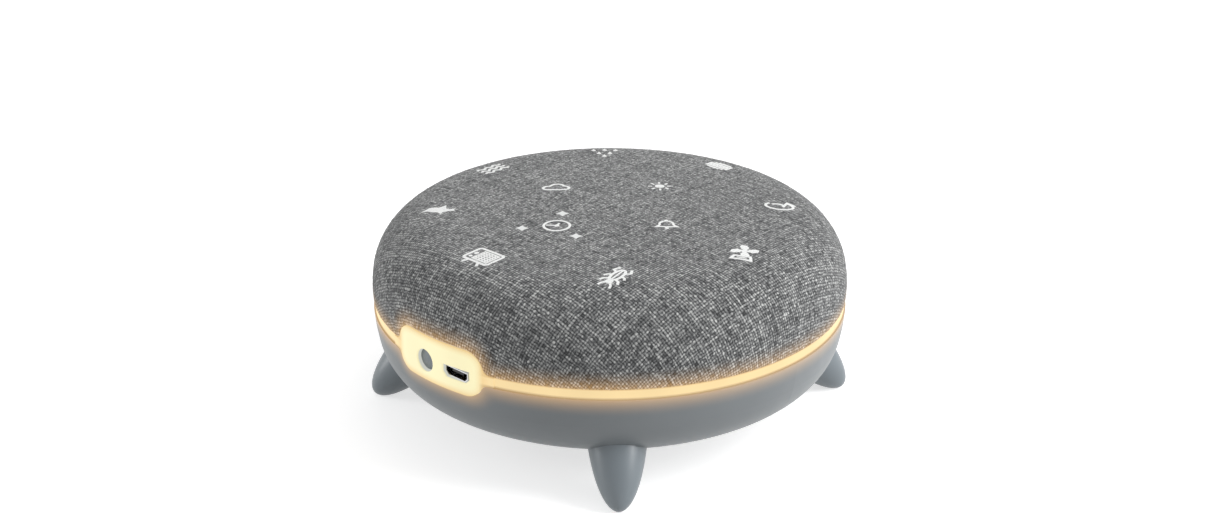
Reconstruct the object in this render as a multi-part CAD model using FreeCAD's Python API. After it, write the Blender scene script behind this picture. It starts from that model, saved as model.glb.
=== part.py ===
import FreeCAD, Part
import math
import os

# A round white noise machine: a puck with a cloth-covered dome over a plastic bowl, a glowing
# band between them that widens into a port panel, and four splayed feet. The port panel faces -Y,
# +Z is up and the feet stand on z = 0. All sizes are millimetres and degrees.

# Body outline
body_radius = 60.0
ring_height = 29.5        # middle of the light band above the table
band_height = 2.6
band_inset = 0.4          # band's face inside the body's widest place
dome_widest_rise = 3.8    # widest place of the dome above the middle of the band
dome_wall_arc = 26.8
dome_wall_turn = 10.8
dome_corner_arc = 15.8
dome_corner_turn = 87.5   # where the corner arc runs into the flat crown
bowl_widest_rise = 0.7
bowl_wall_arc = 46.0
bowl_wall_turn = 11.6
bowl_corner_arc = 14.0
fabric_thickness = 0.8
dome_wall = 2.0
bowl_wall = 2.6
label_radius = 24.0
label_depth = 0.4

# Port panel, part of the light ring
panel_width = 28.4
panel_offset = 0.6        # panel's middle towards +X of the front
panel_height = 11.5
panel_rise = 0.65
panel_corner = 5.0
panel_flare = 2.0         # hollow curve from panel to band
panel_inset = 0.1
panel_gap = 0.15
lip_wall = 1.5            # inner wall of the light ring
lip_reach = 3.0           # how far it nests into each shell
lip_gap = 0.2

# Feet
foot_count = 4
foot_splay = 44.3
foot_half_length = 27.6   # of the ellipsoid that the foot is cut from
foot_half_width = 7.7
foot_contact_inset = 0.7  # where the feet stand, inside the body's widest place
foot_flat_depth = 0.2
spigot_radius = 3.0
spigot_reach = 5.0        # from the bowl's outside into its boss
foot_boss_radius = 5.0
foot_boss_roof = 1.7
foot_screw_bite = 7.0

# Fits
slide_gap = 0.15
seat_gap = 0.3
thread_gap = 0.05
pass_gap = 0.4            # a post through a hole in a board

# Screws: shank radius, head radius, head height
body_screw = (1.3, 2.6, 1.8)
board_screw = (1.2, 2.2, 1.5)
speaker_screw = (1.1, 2.1, 1.4)
foot_screw = (1.5, 3.0, 1.9)
head_recess_share = 0.5   # depth of the drive recess in a screw head
drive_width_share = 0.28

# Screw posts
body_post_radius = 3.8
body_post_inset = 6.0     # inside the flat part of the dome's underside
body_post_azimuth = 22.5
body_post_split = 29.1    # where the bowl's tube meets the dome's boss
body_head_seat = 20.0
body_screw_bite = 11.0
board_post_radius = 3.0
board_post_inset = 24.2   # inside the board's edge
board_screw_bite = 8.0
speaker_post_radius = 3.2
speaker_post_reach = 4.6  # beyond the loudspeaker's flange
speaker_screw_bite = 3.4

# Touch board under the crown
touch_edge_reach = 1.0    # board beyond the flat part of the dome's underside
touch_thickness = 1.0
electrode_thickness = 0.2
outer_pad_count = 8
outer_pad_radius = 4.2
inner_pad_count = 4
inner_pad_circle = 19.3
inner_pad_radius = 3.4
sound_hole_radius = 10.5  # through the board's middle
side_hole_radius = 3.8
side_hole_circle = 19.3
grille_pitch = 2.7
grille_hole_radius = 0.75
timer_light_circle = 8.2
timer_light_angles = (9.0, 129.0, 237.0)
timer_light_size = (1.6, 0.9, 0.7)
light_well_radius = 1.3
touch_chip_size = (6.0, 6.0, 1.0)
touch_chip_azimuth = 90.0
touch_chip_circle = 34.0

# Main board
board_thickness = 1.6
board_edge_gap = 1.3      # to the light ring's inner wall
board_hole_radius = 21.0
board_tab_lap = 0.2       # how far the tab passes the light ring's inner wall
board_tab_side = 1.4      # board beside the socket, on the tab
led_step = 15.0
led_inset = 1.1           # middle of a light inside the board's edge
led_size = (3.0, 1.4, 1.2)
led_blank = 13.0          # no light within this angle of the port panel's middle
led_lens_size = (1.8, 0.3, 0.8)
controller_size = (9.0, 9.0, 1.3)
amplifier_size = (6.0, 5.0, 1.2)
memory_size = (5.2, 5.2, 1.7)
inductor_size = (6.5, 6.5, 3.2)
capacitor_radius = 3.15
capacitor_height = 7.7
capacitor_groove = 0.4
capacitor_azimuths = (90.0, 76.0, 62.0)
controller_azimuth = -45.0
memory_azimuth = -118.0
amplifier_azimuth = 150.0
inductor_azimuth = 128.0
parts_inset = 16.2        # large parts inside the board's edge

# Port parts
usb_offset = 7.1
usb_drop = 0.5            # socket's middle below the middle of the band
usb_width = 7.5
usb_height = 2.5
usb_sheet = 0.25
usb_corner_cut = 0.95
usb_depth = 5.6
usb_setback = 0.9         # socket's mouth behind the panel's face
usb_slot_gap = 0.3
usb_tongue_width = 3.7
usb_tongue_thickness = 0.6
usb_tongue_length = 3.6
usb_block_depth = 1.3
usb_pin_count = 5
usb_pin_pitch = 0.65
usb_pin_width = 0.36
usb_pin_thickness = 0.12

button_offset = -3.2
button_drop = 0.3         # button's middle below the middle of the band
button_radius = 2.7
button_recess = 1.1       # button's crown behind the panel's face
button_crown = 0.35
port_edge_round = 0.25    # edges of the button's hole and the socket's slot
button_flange_radius = 3.7
button_flange_thickness = 0.8
button_stem_radius = 1.3
button_stem_length = 1.6
button_travel = 0.5
switch_size = (6.0, 3.5, 3.5)
switch_plunger_radius = 1.0
switch_plunger_show = 1.2
switch_plunger_hold = 1.0
switch_cover_sheet = 0.25
switch_dome_thickness = 0.12

# Loudspeaker
gasket_thickness = 1.8
surround_thickness = 0.4
surround_inset = 0.6      # surround's edge inside the flange's edge
surround_roll_gap = 0.2   # roll inside the flange's bore
surround_roll_width = 2.6
surround_lap = 1.5        # surround's flat part on the cone
flange_thickness = 1.2
flange_radius = 26.4
flange_width = 2.5
gasket_width = 1.9
ear_width = 8.0
basket_wall = 1.2
basket_foot_radius = 17.6
basket_window_half = 24.0
spider_drop = 8.9         # spider's seat below the flange's top
spider_thickness = 0.35
spider_wave = 0.5
spider_wave_count = 3
spider_outer = 16.2
spider_shelf_inner = 14.4
spider_neck = 0.6         # flat part beside the coil
shelf_thickness = 0.8
shelf_height = 1.4        # shelf's underside above the top plate
window_margin = 0.9       # basket left above and below a window
cone_thickness = 0.5
cone_depth = 8.0
cone_bow = 0.9
coil_radius = 8.0
former_wall = 0.15
former_floor_gap = 0.8    # above the back plate when the cone is at its lowest
winding_thickness = 0.35
dust_cap_radius = 9.2
dust_cap_rise = 2.6
top_plate_thickness = 2.8
top_plate_radius = 16.0
magnet_radius = 16.8
magnet_height = 6.0
back_plate_thickness = 2.8
pole_gap = 0.35
plate_gap = 0.3
magnet_bore = 9.8
cone_travel = 1.5         # each way
terminal_size = (11.0, 1.0, 5.4)
terminal_margin = 0.6
lug_size = (1.6, 0.5, 3.0)
lug_spacing = 5.0

# Wires inside
lead_diameter = 1.0
plug_size = (6.4, 6.8, 3.7)
plug_latch = (2.4, 0.6)   # width and height
socket_wall = 0.8
socket_front = 36.6
plug_show = 2.0
wire_pitch = 2.5
ribbon_width = 6.0
ribbon_thickness = 0.3
ribbon_bow = 3.0
ribbon_circle = 33.0
ribbon_socket_size = (4.0, 8.0, 2.0)

# Heights worked out from the sizes above
band_top = ring_height + band_height / 2
band_bottom = ring_height - band_height / 2
dome_rim = band_top + fabric_thickness
dome_wall_centre = (body_radius - dome_wall_arc, ring_height + dome_widest_rise)
bowl_wall_centre = (body_radius - bowl_wall_arc, ring_height + bowl_widest_rise)


def step_along(centre, radius, angle):
    """The point of a circle in the (r, z) half plane at an angle above the horizontal."""
    turn = math.radians(angle)
    return (centre[0] + radius * math.cos(turn), centre[1] + radius * math.sin(turn))


dome_corner_centre = step_along(dome_wall_centre, dome_wall_arc - dome_corner_arc, dome_wall_turn)
bowl_corner_centre = step_along(bowl_wall_centre, bowl_wall_arc - bowl_corner_arc, -bowl_wall_turn)
crown_radius = dome_corner_centre[0] / math.cos(math.radians(dome_corner_turn)) + dome_corner_arc
crown_drop = dome_corner_centre[0] * math.tan(math.radians(dome_corner_turn))
crown_centre = (0.0, dome_corner_centre[1] - crown_drop)
touch_face = dome_corner_centre[1] + dome_corner_arc - fabric_thickness - dome_wall
touch_radius = dome_corner_centre[0] + touch_edge_reach
outer_pad_circle = dome_corner_centre[0] - outer_pad_radius - seat_gap
crown_top = crown_centre[1] + crown_radius
bowl_bottom = bowl_corner_centre[1] - bowl_corner_arc
bowl_floor = bowl_bottom + bowl_wall
usb_height_above = ring_height - usb_drop
button_height = ring_height - button_drop
board_top = usb_height_above - usb_height / 2
board_bottom = board_top - board_thickness
touch_top = touch_face - electrode_thickness
touch_bottom = touch_top - touch_thickness
flange_top = touch_bottom - gasket_thickness - surround_thickness
flange_bottom = flange_top - flange_thickness
lip_outer = dome_wall_centre[0] + dome_wall_arc - fabric_thickness - dome_wall - lip_gap
lip_inner = lip_outer - lip_wall
spider_seat = flange_top - spider_drop
cone_neck = flange_top - cone_depth
plate_top = spider_seat - shelf_thickness - shelf_height
plate_bottom = plate_top - top_plate_thickness
magnet_bottom = plate_bottom - magnet_height
back_plate_bottom = magnet_bottom - back_plate_thickness
body_screw_top = body_post_split + body_screw_bite

# Places in plan worked out from the sizes above
band_radius = body_radius - band_inset
panel_radius = body_radius - panel_inset
foot_contact_radius = body_radius - foot_contact_inset
body_post_circle = dome_corner_centre[0] - body_post_inset
board_radius = lip_inner - board_edge_gap
board_post_circle = board_radius - board_post_inset
parts_circle = board_radius - parts_inset
board_tab_reach = lip_outer + board_tab_lap
led_circle = board_radius - led_inset
usb_front = panel_radius - usb_setback
button_front = panel_radius - button_recess
speaker_post_circle = flange_radius + speaker_post_reach
flange_bore = flange_radius - flange_width
surround_outer = flange_radius - surround_inset
surround_roll_outer = flange_bore - surround_roll_gap
surround_roll_inner = surround_roll_outer - surround_roll_width
surround_inner = surround_roll_inner - surround_lap
foot_azimuths = [45.0 + 360.0 / foot_count * k for k in range(foot_count)]
quarter_azimuths = [45.0, 135.0, 225.0, 315.0]
post_azimuths = [body_post_azimuth + 90.0 * k for k in range(4)]


def vec(x, y, z):
    return FreeCAD.Vector(x, y, z)


def spot(azimuth, radius):
    """A place in plan. Azimuth 0 is towards -Y, where the port panel is, and 90 is towards +X."""
    turn = math.radians(azimuth)
    return (radius * math.sin(turn), -radius * math.cos(turn))


def cylinder(radius, low, high, place=(0.0, 0.0)):
    return Part.makeCylinder(radius, high - low, vec(place[0], place[1], low))


def tube(inner, outer, low, high, place=(0.0, 0.0)):
    return cylinder(outer, low, high, place).cut(cylinder(inner, low, high, place))


def block(x, y, z):
    """A box between pairs of limits along X, Y and Z."""
    return Part.makeBox(x[1] - x[0], y[1] - y[0], z[1] - z[0], vec(x[0], y[0], z[0]))


def turned_block(size, azimuth, radius, low):
    """A box of width along the circle, depth along the radius and height, at a place in plan."""
    width, depth, height = size
    shape = block((-width / 2, width / 2), (-radius - depth / 2, -radius + depth / 2), (low, low + height))
    shape.rotate(vec(0, 0, 0), vec(0, 0, 1), azimuth)
    return shape


def fuse_all(shapes):
    return shapes[0].multiFuse(shapes[1:]) if len(shapes) > 1 else shapes[0]


def cut_all(shape, tools):
    return shape.cut(tools)


def line(start, end):
    return Part.LineSegment(vec(start[0], 0, start[1]), vec(end[0], 0, end[1])).toShape()


def arc(centre, radius, start, end):
    marks = [step_along(centre, radius, angle) for angle in (start, (start + end) / 2, end)]
    return Part.Arc(*[vec(r, 0, z) for r, z in marks]).toShape()


def spin(edges):
    """A closed outline in the XZ half plane turned round Z into a solid."""
    wire = Part.Wire(Part.__sortEdges__(edges))
    return Part.Face(wire).revolve(vec(0, 0, 0), vec(0, 0, 1), 360)


def spin_points(points):
    closed = points + points[:1]
    return spin([line(a, b) for a, b in zip(closed, closed[1:])])


def wall_radius(centre, radius, height):
    """Where a wall arc passes a height."""
    return centre[0] + math.sqrt(radius ** 2 - (height - centre[1]) ** 2)


def wall_angle(centre, radius, height):
    return math.degrees(math.asin((height - centre[1]) / radius))


def dome_outline(inset, rim):
    """Arcs of the dome from its rim to the middle of the crown, moved in by inset."""
    wall = dome_wall_arc - inset
    low = wall_angle(dome_wall_centre, wall, rim)
    return [
        arc(dome_wall_centre, wall, low, dome_wall_turn),
        arc(dome_corner_centre, dome_corner_arc - inset, dome_wall_turn, dome_corner_turn),
        arc(crown_centre, crown_radius - inset, dome_corner_turn, 90.0),
    ]


def bowl_outline(inset, rim):
    """Arcs of the bowl from its rim to its flat bottom, moved in by inset."""
    wall = bowl_wall_arc - inset
    high = wall_angle(bowl_wall_centre, wall, rim)
    return [
        arc(bowl_wall_centre, wall, high, -bowl_wall_turn),
        arc(bowl_corner_centre, bowl_corner_arc - inset, -bowl_wall_turn, -90.0),
    ]


def bowl_block(inset):
    """The bowl's outside, or its hollow, as a solid."""
    wall = bowl_wall_arc - inset
    rim = (wall_radius(bowl_wall_centre, wall, band_bottom), band_bottom)
    low = bowl_corner_centre[1] - bowl_corner_arc + inset
    edges = bowl_outline(inset, band_bottom)
    edges.append(line((bowl_corner_centre[0], low), (0, low)))
    edges.append(line((0, low), (0, band_bottom)))
    edges.append(line((0, band_bottom), rim))
    return spin(edges)


def corner_arc(centre, start, end):
    """An arc of under half a turn about centre, in the plane of the port panel's outline."""
    first = vec(start[0] - centre[0], 0, start[1] - centre[1])
    last = vec(end[0] - centre[0], 0, end[1] - centre[1])
    middle = first.add(last).normalize().multiply(first.Length)
    return Part.Arc(
        vec(start[0], 0, start[1]), vec(centre[0], 0, centre[1]).add(middle), vec(end[0], 0, end[1])
    ).toShape()


def panel_side(grow, side):
    """One end of the port panel's outline: corner and hollow flare, below then above the band."""
    corner = panel_corner + grow
    flare = panel_flare - grow
    middle = ring_height + panel_rise
    x = panel_width / 2 + grow - corner
    edges = []
    ends = []
    for up in (-1, 1):
        z = middle + up * (panel_height / 2 + grow - corner)
        band = ring_height + up * band_height / 2
        flare_z = band + up * flare
        flare_x = x + math.sqrt((corner + flare) ** 2 - (flare_z - z) ** 2)
        share = corner / (corner + flare)
        meet = (x + share * (flare_x - x), z + share * (flare_z - z))
        tip = (x, z + up * corner)
        edges.append(corner_arc((side * x, z), (side * tip[0], tip[1]), (side * meet[0], meet[1])))
        edges.append(corner_arc((side * flare_x, flare_z), (side * meet[0], meet[1]), (side * flare_x, band)))
        ends.append(((side * tip[0], tip[1]), (side * flare_x, band)))
    return edges, ends


def panel_prism(grow, front, back):
    """The port panel's outline, with short stubs of band at its ends, run through from front to back."""
    left, left_ends = panel_side(grow, -1)
    right, right_ends = panel_side(grow, 1)
    edges = left + right
    stub = max(point[1][0] for point in right_ends) + 1.0
    for k in (0, 1):
        edges.append(line(left_ends[k][0], right_ends[k][0]))
        edges.append(line(right_ends[k][1], (stub, right_ends[k][1][1])))
        edges.append(line(left_ends[k][1], (-stub, left_ends[k][1][1])))
    for side in (-1, 1):
        edges.append(line((side * stub, band_bottom), (side * stub, band_top)))
    face = Part.Face(Part.Wire(Part.__sortEdges__(edges)))
    face.translate(vec(panel_offset, -front, 0))
    return face.extrude(vec(0, front - back, 0))


def panel_notch():
    return panel_prism(panel_gap, body_radius + 5.0, lip_inner - 5.0)


def fabric_cover():
    """Cloth over the dome, turned in under its rim."""
    inner = dome_wall_arc - fabric_thickness
    hem = wall_radius(dome_wall_centre, inner - dome_wall, dome_rim)
    edges = dome_outline(0.0, band_top) + dome_outline(fabric_thickness, dome_rim)
    edges.append(line((0, crown_top), (0, crown_top - fabric_thickness)))
    edges.append(line((wall_radius(dome_wall_centre, inner, dome_rim), dome_rim), (hem, dome_rim)))
    edges.append(line((hem, dome_rim), (hem, band_top)))
    edges.append(line((hem, band_top), (wall_radius(dome_wall_centre, dome_wall_arc, band_top), band_top)))
    return spin(edges).cut(panel_notch())


def grille_holes():
    """Small sound holes over the board's middle hole and its four side holes."""
    row = grille_pitch * math.sqrt(3) / 2
    reach = sound_hole_radius - grille_hole_radius
    count = int(reach / row) + 1
    places = []
    for j in range(-count, count + 1):
        for i in range(-count, count + 1):
            x, y = (i + 0.5 * (j % 2)) * grille_pitch, j * row
            if math.hypot(x, y) < reach:
                places.append((x, y))
    for azimuth in quarter_azimuths:
        x, y = spot(azimuth, side_hole_circle)
        ring = side_hole_radius - grille_hole_radius - slide_gap
        around = [spot(60.0 * k, ring * 0.85) for k in range(6)]
        places += [(x, y)] + [(x + dx, y + dy) for dx, dy in around]
    return [cylinder(grille_hole_radius, touch_face - 1.0, crown_top, place) for place in places]


def timer_light_places():
    x, y = spot(0.0, inner_pad_circle)
    found = []
    for angle in timer_light_angles:
        turn = math.radians(angle)
        found.append((x + timer_light_circle * math.cos(turn), y - timer_light_circle * math.sin(turn)))
    return found


def top_shell():
    """Rigid dome under the cloth, with a flat underside for the touch board and its posts."""
    outer = dome_wall_arc - fabric_thickness
    inner = outer - dome_wall
    inset = fabric_thickness + dome_wall
    edges = dome_outline(fabric_thickness, dome_rim)
    edges.append(line((0, crown_top - fabric_thickness), (0, touch_face)))
    edges.append(line((0, touch_face), (dome_corner_centre[0], touch_face)))
    edges.append(arc(dome_corner_centre, dome_corner_arc - inset, 90.0, dome_wall_turn))
    low = wall_angle(dome_wall_centre, inner, dome_rim)
    edges.append(arc(dome_wall_centre, inner, dome_wall_turn, low))
    edges.append(
        line((wall_radius(dome_wall_centre, inner, dome_rim), dome_rim),
             (wall_radius(dome_wall_centre, outer, dome_rim), dome_rim))
    )
    shell = spin(edges)
    posts = [
        cylinder(body_post_radius, body_post_split, touch_face, spot(a, body_post_circle))
        for a in post_azimuths
    ]
    posts += [
        cylinder(speaker_post_radius, flange_top, touch_face, spot(a, speaker_post_circle))
        for a in quarter_azimuths
    ]
    shell = fuse_all([shell] + posts)
    tools = [panel_notch()]
    for a in post_azimuths:
        depth = body_screw_top + 1.0
        tools.append(cylinder(body_screw[0] + thread_gap, body_post_split, depth, spot(a, body_post_circle)))
    for a in quarter_azimuths:
        depth = flange_top + speaker_screw_bite + seat_gap
        tools.append(cylinder(speaker_screw[0] + thread_gap, flange_top, depth, spot(a, speaker_post_circle)))
    tools += [cylinder(light_well_radius, touch_face - 1.0, crown_top, p) for p in timer_light_places()]
    return cut_all(shell, tools + grille_holes())


def usb_outline(grow):
    """Outline of the socket's shell: a flat oblong with its lower corners cut off."""
    half, cut = usb_width / 2 + grow, usb_corner_cut + grow * (2 - math.sqrt(2))
    low, high = usb_height_above - usb_height / 2 - grow, usb_height_above + usb_height / 2 + grow
    points = [(-half, high), (half, high), (half, low + cut), (half - cut, low)]
    points += [(-half + cut, low), (-half, low + cut)]
    return [(x + usb_offset, z) for x, z in points]


def prism_along_y(points, front, back):
    closed = points + points[:1]
    face = Part.Face(Part.Wire([line(a, b) for a, b in zip(closed, closed[1:])]))
    face.translate(vec(0, -front, 0))
    return face.extrude(vec(0, front - back, 0))


def rod_along_y(radius, x, z, front, back):
    return Part.makeCylinder(radius, front - back, vec(x, -front, z), vec(0, 1, 0))


def port_edges(ring):
    """Edges where the button's hole and the socket's slot break out of the port panel's face."""
    reach = panel_width / 2 - panel_corner
    found = []
    for edge in ring.Edges:
        box = edge.BoundBox
        middle = (box.YMin + box.YMax) / 2
        inside = abs(box.Center.x - panel_offset) < reach and box.XLength < 2 * reach
        height = abs(box.Center.z - ring_height - panel_rise) < panel_height / 2 - 1.0
        on_face = all(abs(math.hypot(v.X, v.Y) - panel_radius) < 0.01 for v in edge.Vertexes)
        if inside and height and on_face and middle < 0:
            found.append(edge)
    return found


def light_ring():
    """Translucent ring: the glowing band, the port panel and an inner wall that locates both shells."""
    wall = tube(lip_inner, lip_outer, band_bottom - lip_reach, band_top + lip_reach)
    band = tube(lip_outer, band_radius, band_bottom, band_top)
    slab = tube(lip_outer, panel_radius, band_bottom - panel_height, band_top + panel_height)
    panel = slab.common(panel_prism(0.0, body_radius + 5.0, lip_inner))
    ring = fuse_all([wall, band, panel])
    tab_sides = (usb_offset - usb_width / 2 - board_tab_side, usb_offset + usb_width / 2 + board_tab_side)
    pocket = block(
        (tab_sides[0] - seat_gap, tab_sides[1] + seat_gap),
        (-board_tab_reach - seat_gap, -lip_inner + 5.0),
        (board_bottom - seat_gap, board_top + seat_gap),
    )
    slot = prism_along_y(usb_outline(usb_slot_gap), body_radius + 1.0, lip_inner - 5.0)
    x, z = button_offset, button_height
    hole = rod_along_y(button_radius + slide_gap, x, z, body_radius + 1.0, lip_inner - 5.0)
    seat = rod_along_y(button_flange_radius + seat_gap, x, z, flange_stop() + seat_gap, lip_inner - 5.0)
    ring = cut_all(ring, [pocket, slot, hole, seat]).removeSplitter()
    return ring.makeFillet(port_edge_round, port_edges(ring))


def flange_stop():
    """How far out the button's flange reaches: just inside the light ring's inner wall."""
    edge = abs(button_offset) + button_flange_radius + seat_gap
    return math.sqrt(lip_inner ** 2 - edge ** 2) + 0.1


def stem_end():
    """Where the button's stem meets the switch plunger."""
    return flange_stop() - button_flange_thickness - button_stem_length


def switch_front():
    return stem_end() - switch_plunger_show


def power_button():
    """Round cap with a retaining flange behind the panel and a stem that pushes the switch."""
    x, z = button_offset, button_height
    cap = rod_along_y(button_radius, x, z, button_front - button_crown, flange_stop())
    ball = (button_radius ** 2 + button_crown ** 2) / (2 * button_crown)
    crown = Part.makeSphere(ball, vec(x, -button_front + ball, z))
    crown = crown.common(rod_along_y(button_radius, x, z, button_front + 1.0, button_front - button_crown))
    flange = rod_along_y(button_flange_radius, x, z, flange_stop(), flange_stop() - button_flange_thickness)
    stem = rod_along_y(button_stem_radius, x, z, flange_stop() - button_flange_thickness, stem_end())
    return fuse_all([cap, crown, flange, stem]).removeSplitter()


def switch_plunger():
    hold = switch_front() - switch_plunger_hold
    return rod_along_y(switch_plunger_radius, button_offset, button_height, stem_end(), hold)


def switch_cavity_end():
    return switch_front() - switch_plunger_hold - button_travel - seat_gap - switch_dome_thickness


def switch_body():
    """Side-push switch, soldered to the main board behind the button."""
    width, depth, height = switch_size
    front = switch_front() - switch_cover_sheet
    body = block(
        (button_offset - width / 2, button_offset + width / 2), (-front, -front + depth),
        (board_top, board_top + height),
    )
    bore = switch_plunger_radius + slide_gap
    return body.cut(rod_along_y(bore, button_offset, button_height, front + 1.0, switch_cavity_end()))


def switch_cover():
    """Sheet metal plate over the switch's front and top."""
    width, depth, height = switch_size
    front = switch_front()
    x = (button_offset - width / 2, button_offset + width / 2)
    inside = -front + switch_cover_sheet
    low, high = board_top + height, board_top + height + switch_cover_sheet
    plate = block(x, (-front, inside), (board_top, high))
    roof = block(x, (inside, inside + depth), (low, high))
    bore = switch_plunger_radius + slide_gap
    return fuse_all([plate, roof]).cut(
        rod_along_y(bore, button_offset, button_height, front + 1.0, front - switch_cover_sheet - 0.1)
    ).removeSplitter()


def switch_dome():
    """Snap dome at the bottom of the switch's well. Its top touches the plunger."""
    reach = switch_front() - switch_plunger_hold
    rise = reach - switch_cavity_end()
    radius = switch_plunger_radius + slide_gap / 2
    ball = (radius ** 2 + rise ** 2) / (2 * rise)
    centre = vec(button_offset, -reach + ball, button_height)
    cap = Part.makeSphere(ball, centre).cut(Part.makeSphere(ball - switch_dome_thickness, centre))
    return cap.common(rod_along_y(radius, button_offset, button_height, reach + 1.0, switch_cavity_end()))


def foot_centre_height():
    """The ellipsoid's middle stands so that the table cuts a small flat from its lowest place."""
    splay = math.radians(foot_splay)
    drop = math.hypot(foot_half_length * math.cos(splay), foot_half_width * math.sin(splay))
    return drop - foot_flat_depth


def foot_centre_radius():
    splay = math.radians(foot_splay)
    drop = foot_centre_height() + foot_flat_depth
    lean = (foot_half_length ** 2 - foot_half_width ** 2) * math.sin(splay) * math.cos(splay) / drop
    return foot_contact_radius - lean


def on_foot_axis(shape, azimuth):
    """Moves a shape made along -Z from the origin onto a foot's axis, tip down and out."""
    shape.rotate(vec(0, 0, 0), vec(1, 0, 0), -foot_splay)
    shape.translate(vec(0, -foot_centre_radius(), foot_centre_height()))
    shape.rotate(vec(0, 0, 0), vec(0, 0, 1), azimuth)
    return shape


def foot_skin_level():
    """How far along the foot's axis, from the ellipsoid's middle, the bowl's outside lies."""
    splay = math.radians(foot_splay)
    r = foot_centre_radius() - bowl_corner_centre[0]
    z = foot_centre_height() - bowl_corner_centre[1]
    along = r * math.sin(splay) - z * math.cos(splay)
    off = r * r + z * z - bowl_corner_arc ** 2
    return -along + math.sqrt(along ** 2 - off)


def foot_boss_top():
    return foot_skin_level() - spigot_reach - seat_gap - foot_boss_roof


def foot(azimuth):
    """Splayed foot cut from a long ellipsoid, shaped to the bowl, with a spigot into its boss."""
    ellipse = Part.Ellipse(vec(0, 0, -foot_half_length), vec(foot_half_width, 0, 0), vec(0, 0, 0))
    side = Part.ArcOfEllipse(ellipse, 0, math.pi / 2).toShape()
    edges = [side, line((foot_half_width, 0), (0, 0)), line((0, 0), (0, -foot_half_length))]
    body = on_foot_axis(spin(edges), azimuth)
    wide = 2 * body_radius
    under = block((-wide, wide), (-wide, wide), (-foot_half_length, 0))
    body = body.cut([under, bowl_block(0.0)])
    body = max(body.Solids, key=lambda solid: solid.Volume)
    level = foot_skin_level()
    spigot = Part.makeCylinder(spigot_radius, spigot_reach + 2.0, vec(0, 0, -level - 2.0))
    pilot_depth = level + foot_screw_bite - spigot_reach
    pilot = Part.makeCylinder(
        foot_screw[0] + thread_gap, foot_screw_bite + seat_gap + 0.5, vec(0, 0, -pilot_depth - 0.5)
    )
    body = body.fuse(on_foot_axis(spigot, azimuth))
    return body.cut(on_foot_axis(pilot, azimuth)).removeSplitter()


def foot_boss_parts(azimuth):
    """A foot's boss inside the bowl, and what is cut from it: the spigot's socket and the screw's hole."""
    level = foot_skin_level()
    top = foot_boss_top()
    boss = Part.makeCylinder(foot_boss_radius, level - top + 4.0, vec(0, 0, -level - 4.0))
    depth = spigot_reach + seat_gap + 3.0
    socket = Part.makeCylinder(spigot_radius + slide_gap, depth, vec(0, 0, -level - 3.0))
    hole = Part.makeCylinder(foot_screw[0] + slide_gap, level - top + 4.0, vec(0, 0, -level))
    return on_foot_axis(boss, azimuth), on_foot_axis(socket, azimuth), on_foot_axis(hole, azimuth)


def bottom_shell():
    """The bowl, with tubes for the body screws, pillars for the main board and a boss for each foot."""
    bosses, sockets, holes = zip(*[foot_boss_parts(a) for a in foot_azimuths])
    bosses = fuse_all(list(bosses)).common(bowl_block(0.0))
    shell = bowl_block(0.0).cut(bowl_block(bowl_wall))
    low = (bowl_bottom + bowl_floor) / 2
    tubes = [
        cylinder(body_post_radius, low, body_post_split, spot(a, body_post_circle)) for a in post_azimuths
    ]
    pillars = [
        cylinder(board_post_radius, low, board_bottom, spot(a, board_post_circle)) for a in quarter_azimuths
    ]
    shell = fuse_all([shell, bosses] + tubes + pillars)
    tools = list(sockets) + list(holes) + [panel_notch()]
    for a in post_azimuths:
        place = spot(a, body_post_circle)
        tools.append(cylinder(body_screw[0] + slide_gap, bowl_bottom, body_post_split, place))
        tools.append(cylinder(body_screw[1] + seat_gap, bowl_bottom - 1.0, body_head_seat, place))
    for a in quarter_azimuths:
        depth = board_top - board_screw_bite - 1.0
        tools.append(cylinder(board_screw[0] + thread_gap, depth, board_bottom, spot(a, board_post_circle)))
    tools.append(cylinder(label_radius, bowl_bottom - 1.0, bowl_bottom + label_depth))
    return cut_all(shell, tools).removeSplitter()


def screw(size, length):
    """Pan head screw standing head up, its head's underside at the origin, with a cross recess."""
    shank, head, height = size
    body = Part.makeCylinder(shank, length, vec(0, 0, -length)).fuse(Part.makeCylinder(head, height))
    body = body.makeFillet(height * 0.35, [e for e in body.Edges if abs(e.BoundBox.ZMin - height) < 1e-6])
    width = head * drive_width_share
    reach = head * 0.62
    deep = height * head_recess_share
    arms = [
        block((-reach, reach), (-width / 2, width / 2), (height - deep, height + 1.0)),
        block((-width / 2, width / 2), (-reach, reach), (height - deep, height + 1.0)),
    ]
    return body.cut(arms)


def screws_at(size, length, azimuths, circle, seat, head_up):
    found = []
    for azimuth in azimuths:
        one = screw(size, length)
        if not head_up:
            one.rotate(vec(0, 0, 0), vec(1, 0, 0), 180)
        x, y = spot(azimuth, circle)
        one.translate(vec(x, y, seat))
        found.append(one)
    return Part.makeCompound(found)


def body_screws():
    length = body_screw_top - body_head_seat
    return screws_at(body_screw, length, post_azimuths, body_post_circle, body_head_seat, False)


def board_screws():
    return screws_at(board_screw, board_screw_bite, quarter_azimuths, board_post_circle, board_top, True)


def speaker_screws():
    length = flange_thickness + speaker_screw_bite
    return screws_at(speaker_screw, length, quarter_azimuths, speaker_post_circle, flange_bottom, False)


def foot_screws():
    length = foot_boss_roof + seat_gap + foot_screw_bite
    found = []
    for azimuth in foot_azimuths:
        one = screw(foot_screw, length)
        one.translate(vec(0, 0, -foot_boss_top()))
        found.append(on_foot_axis(one, azimuth))
    return Part.makeCompound(found)


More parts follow.
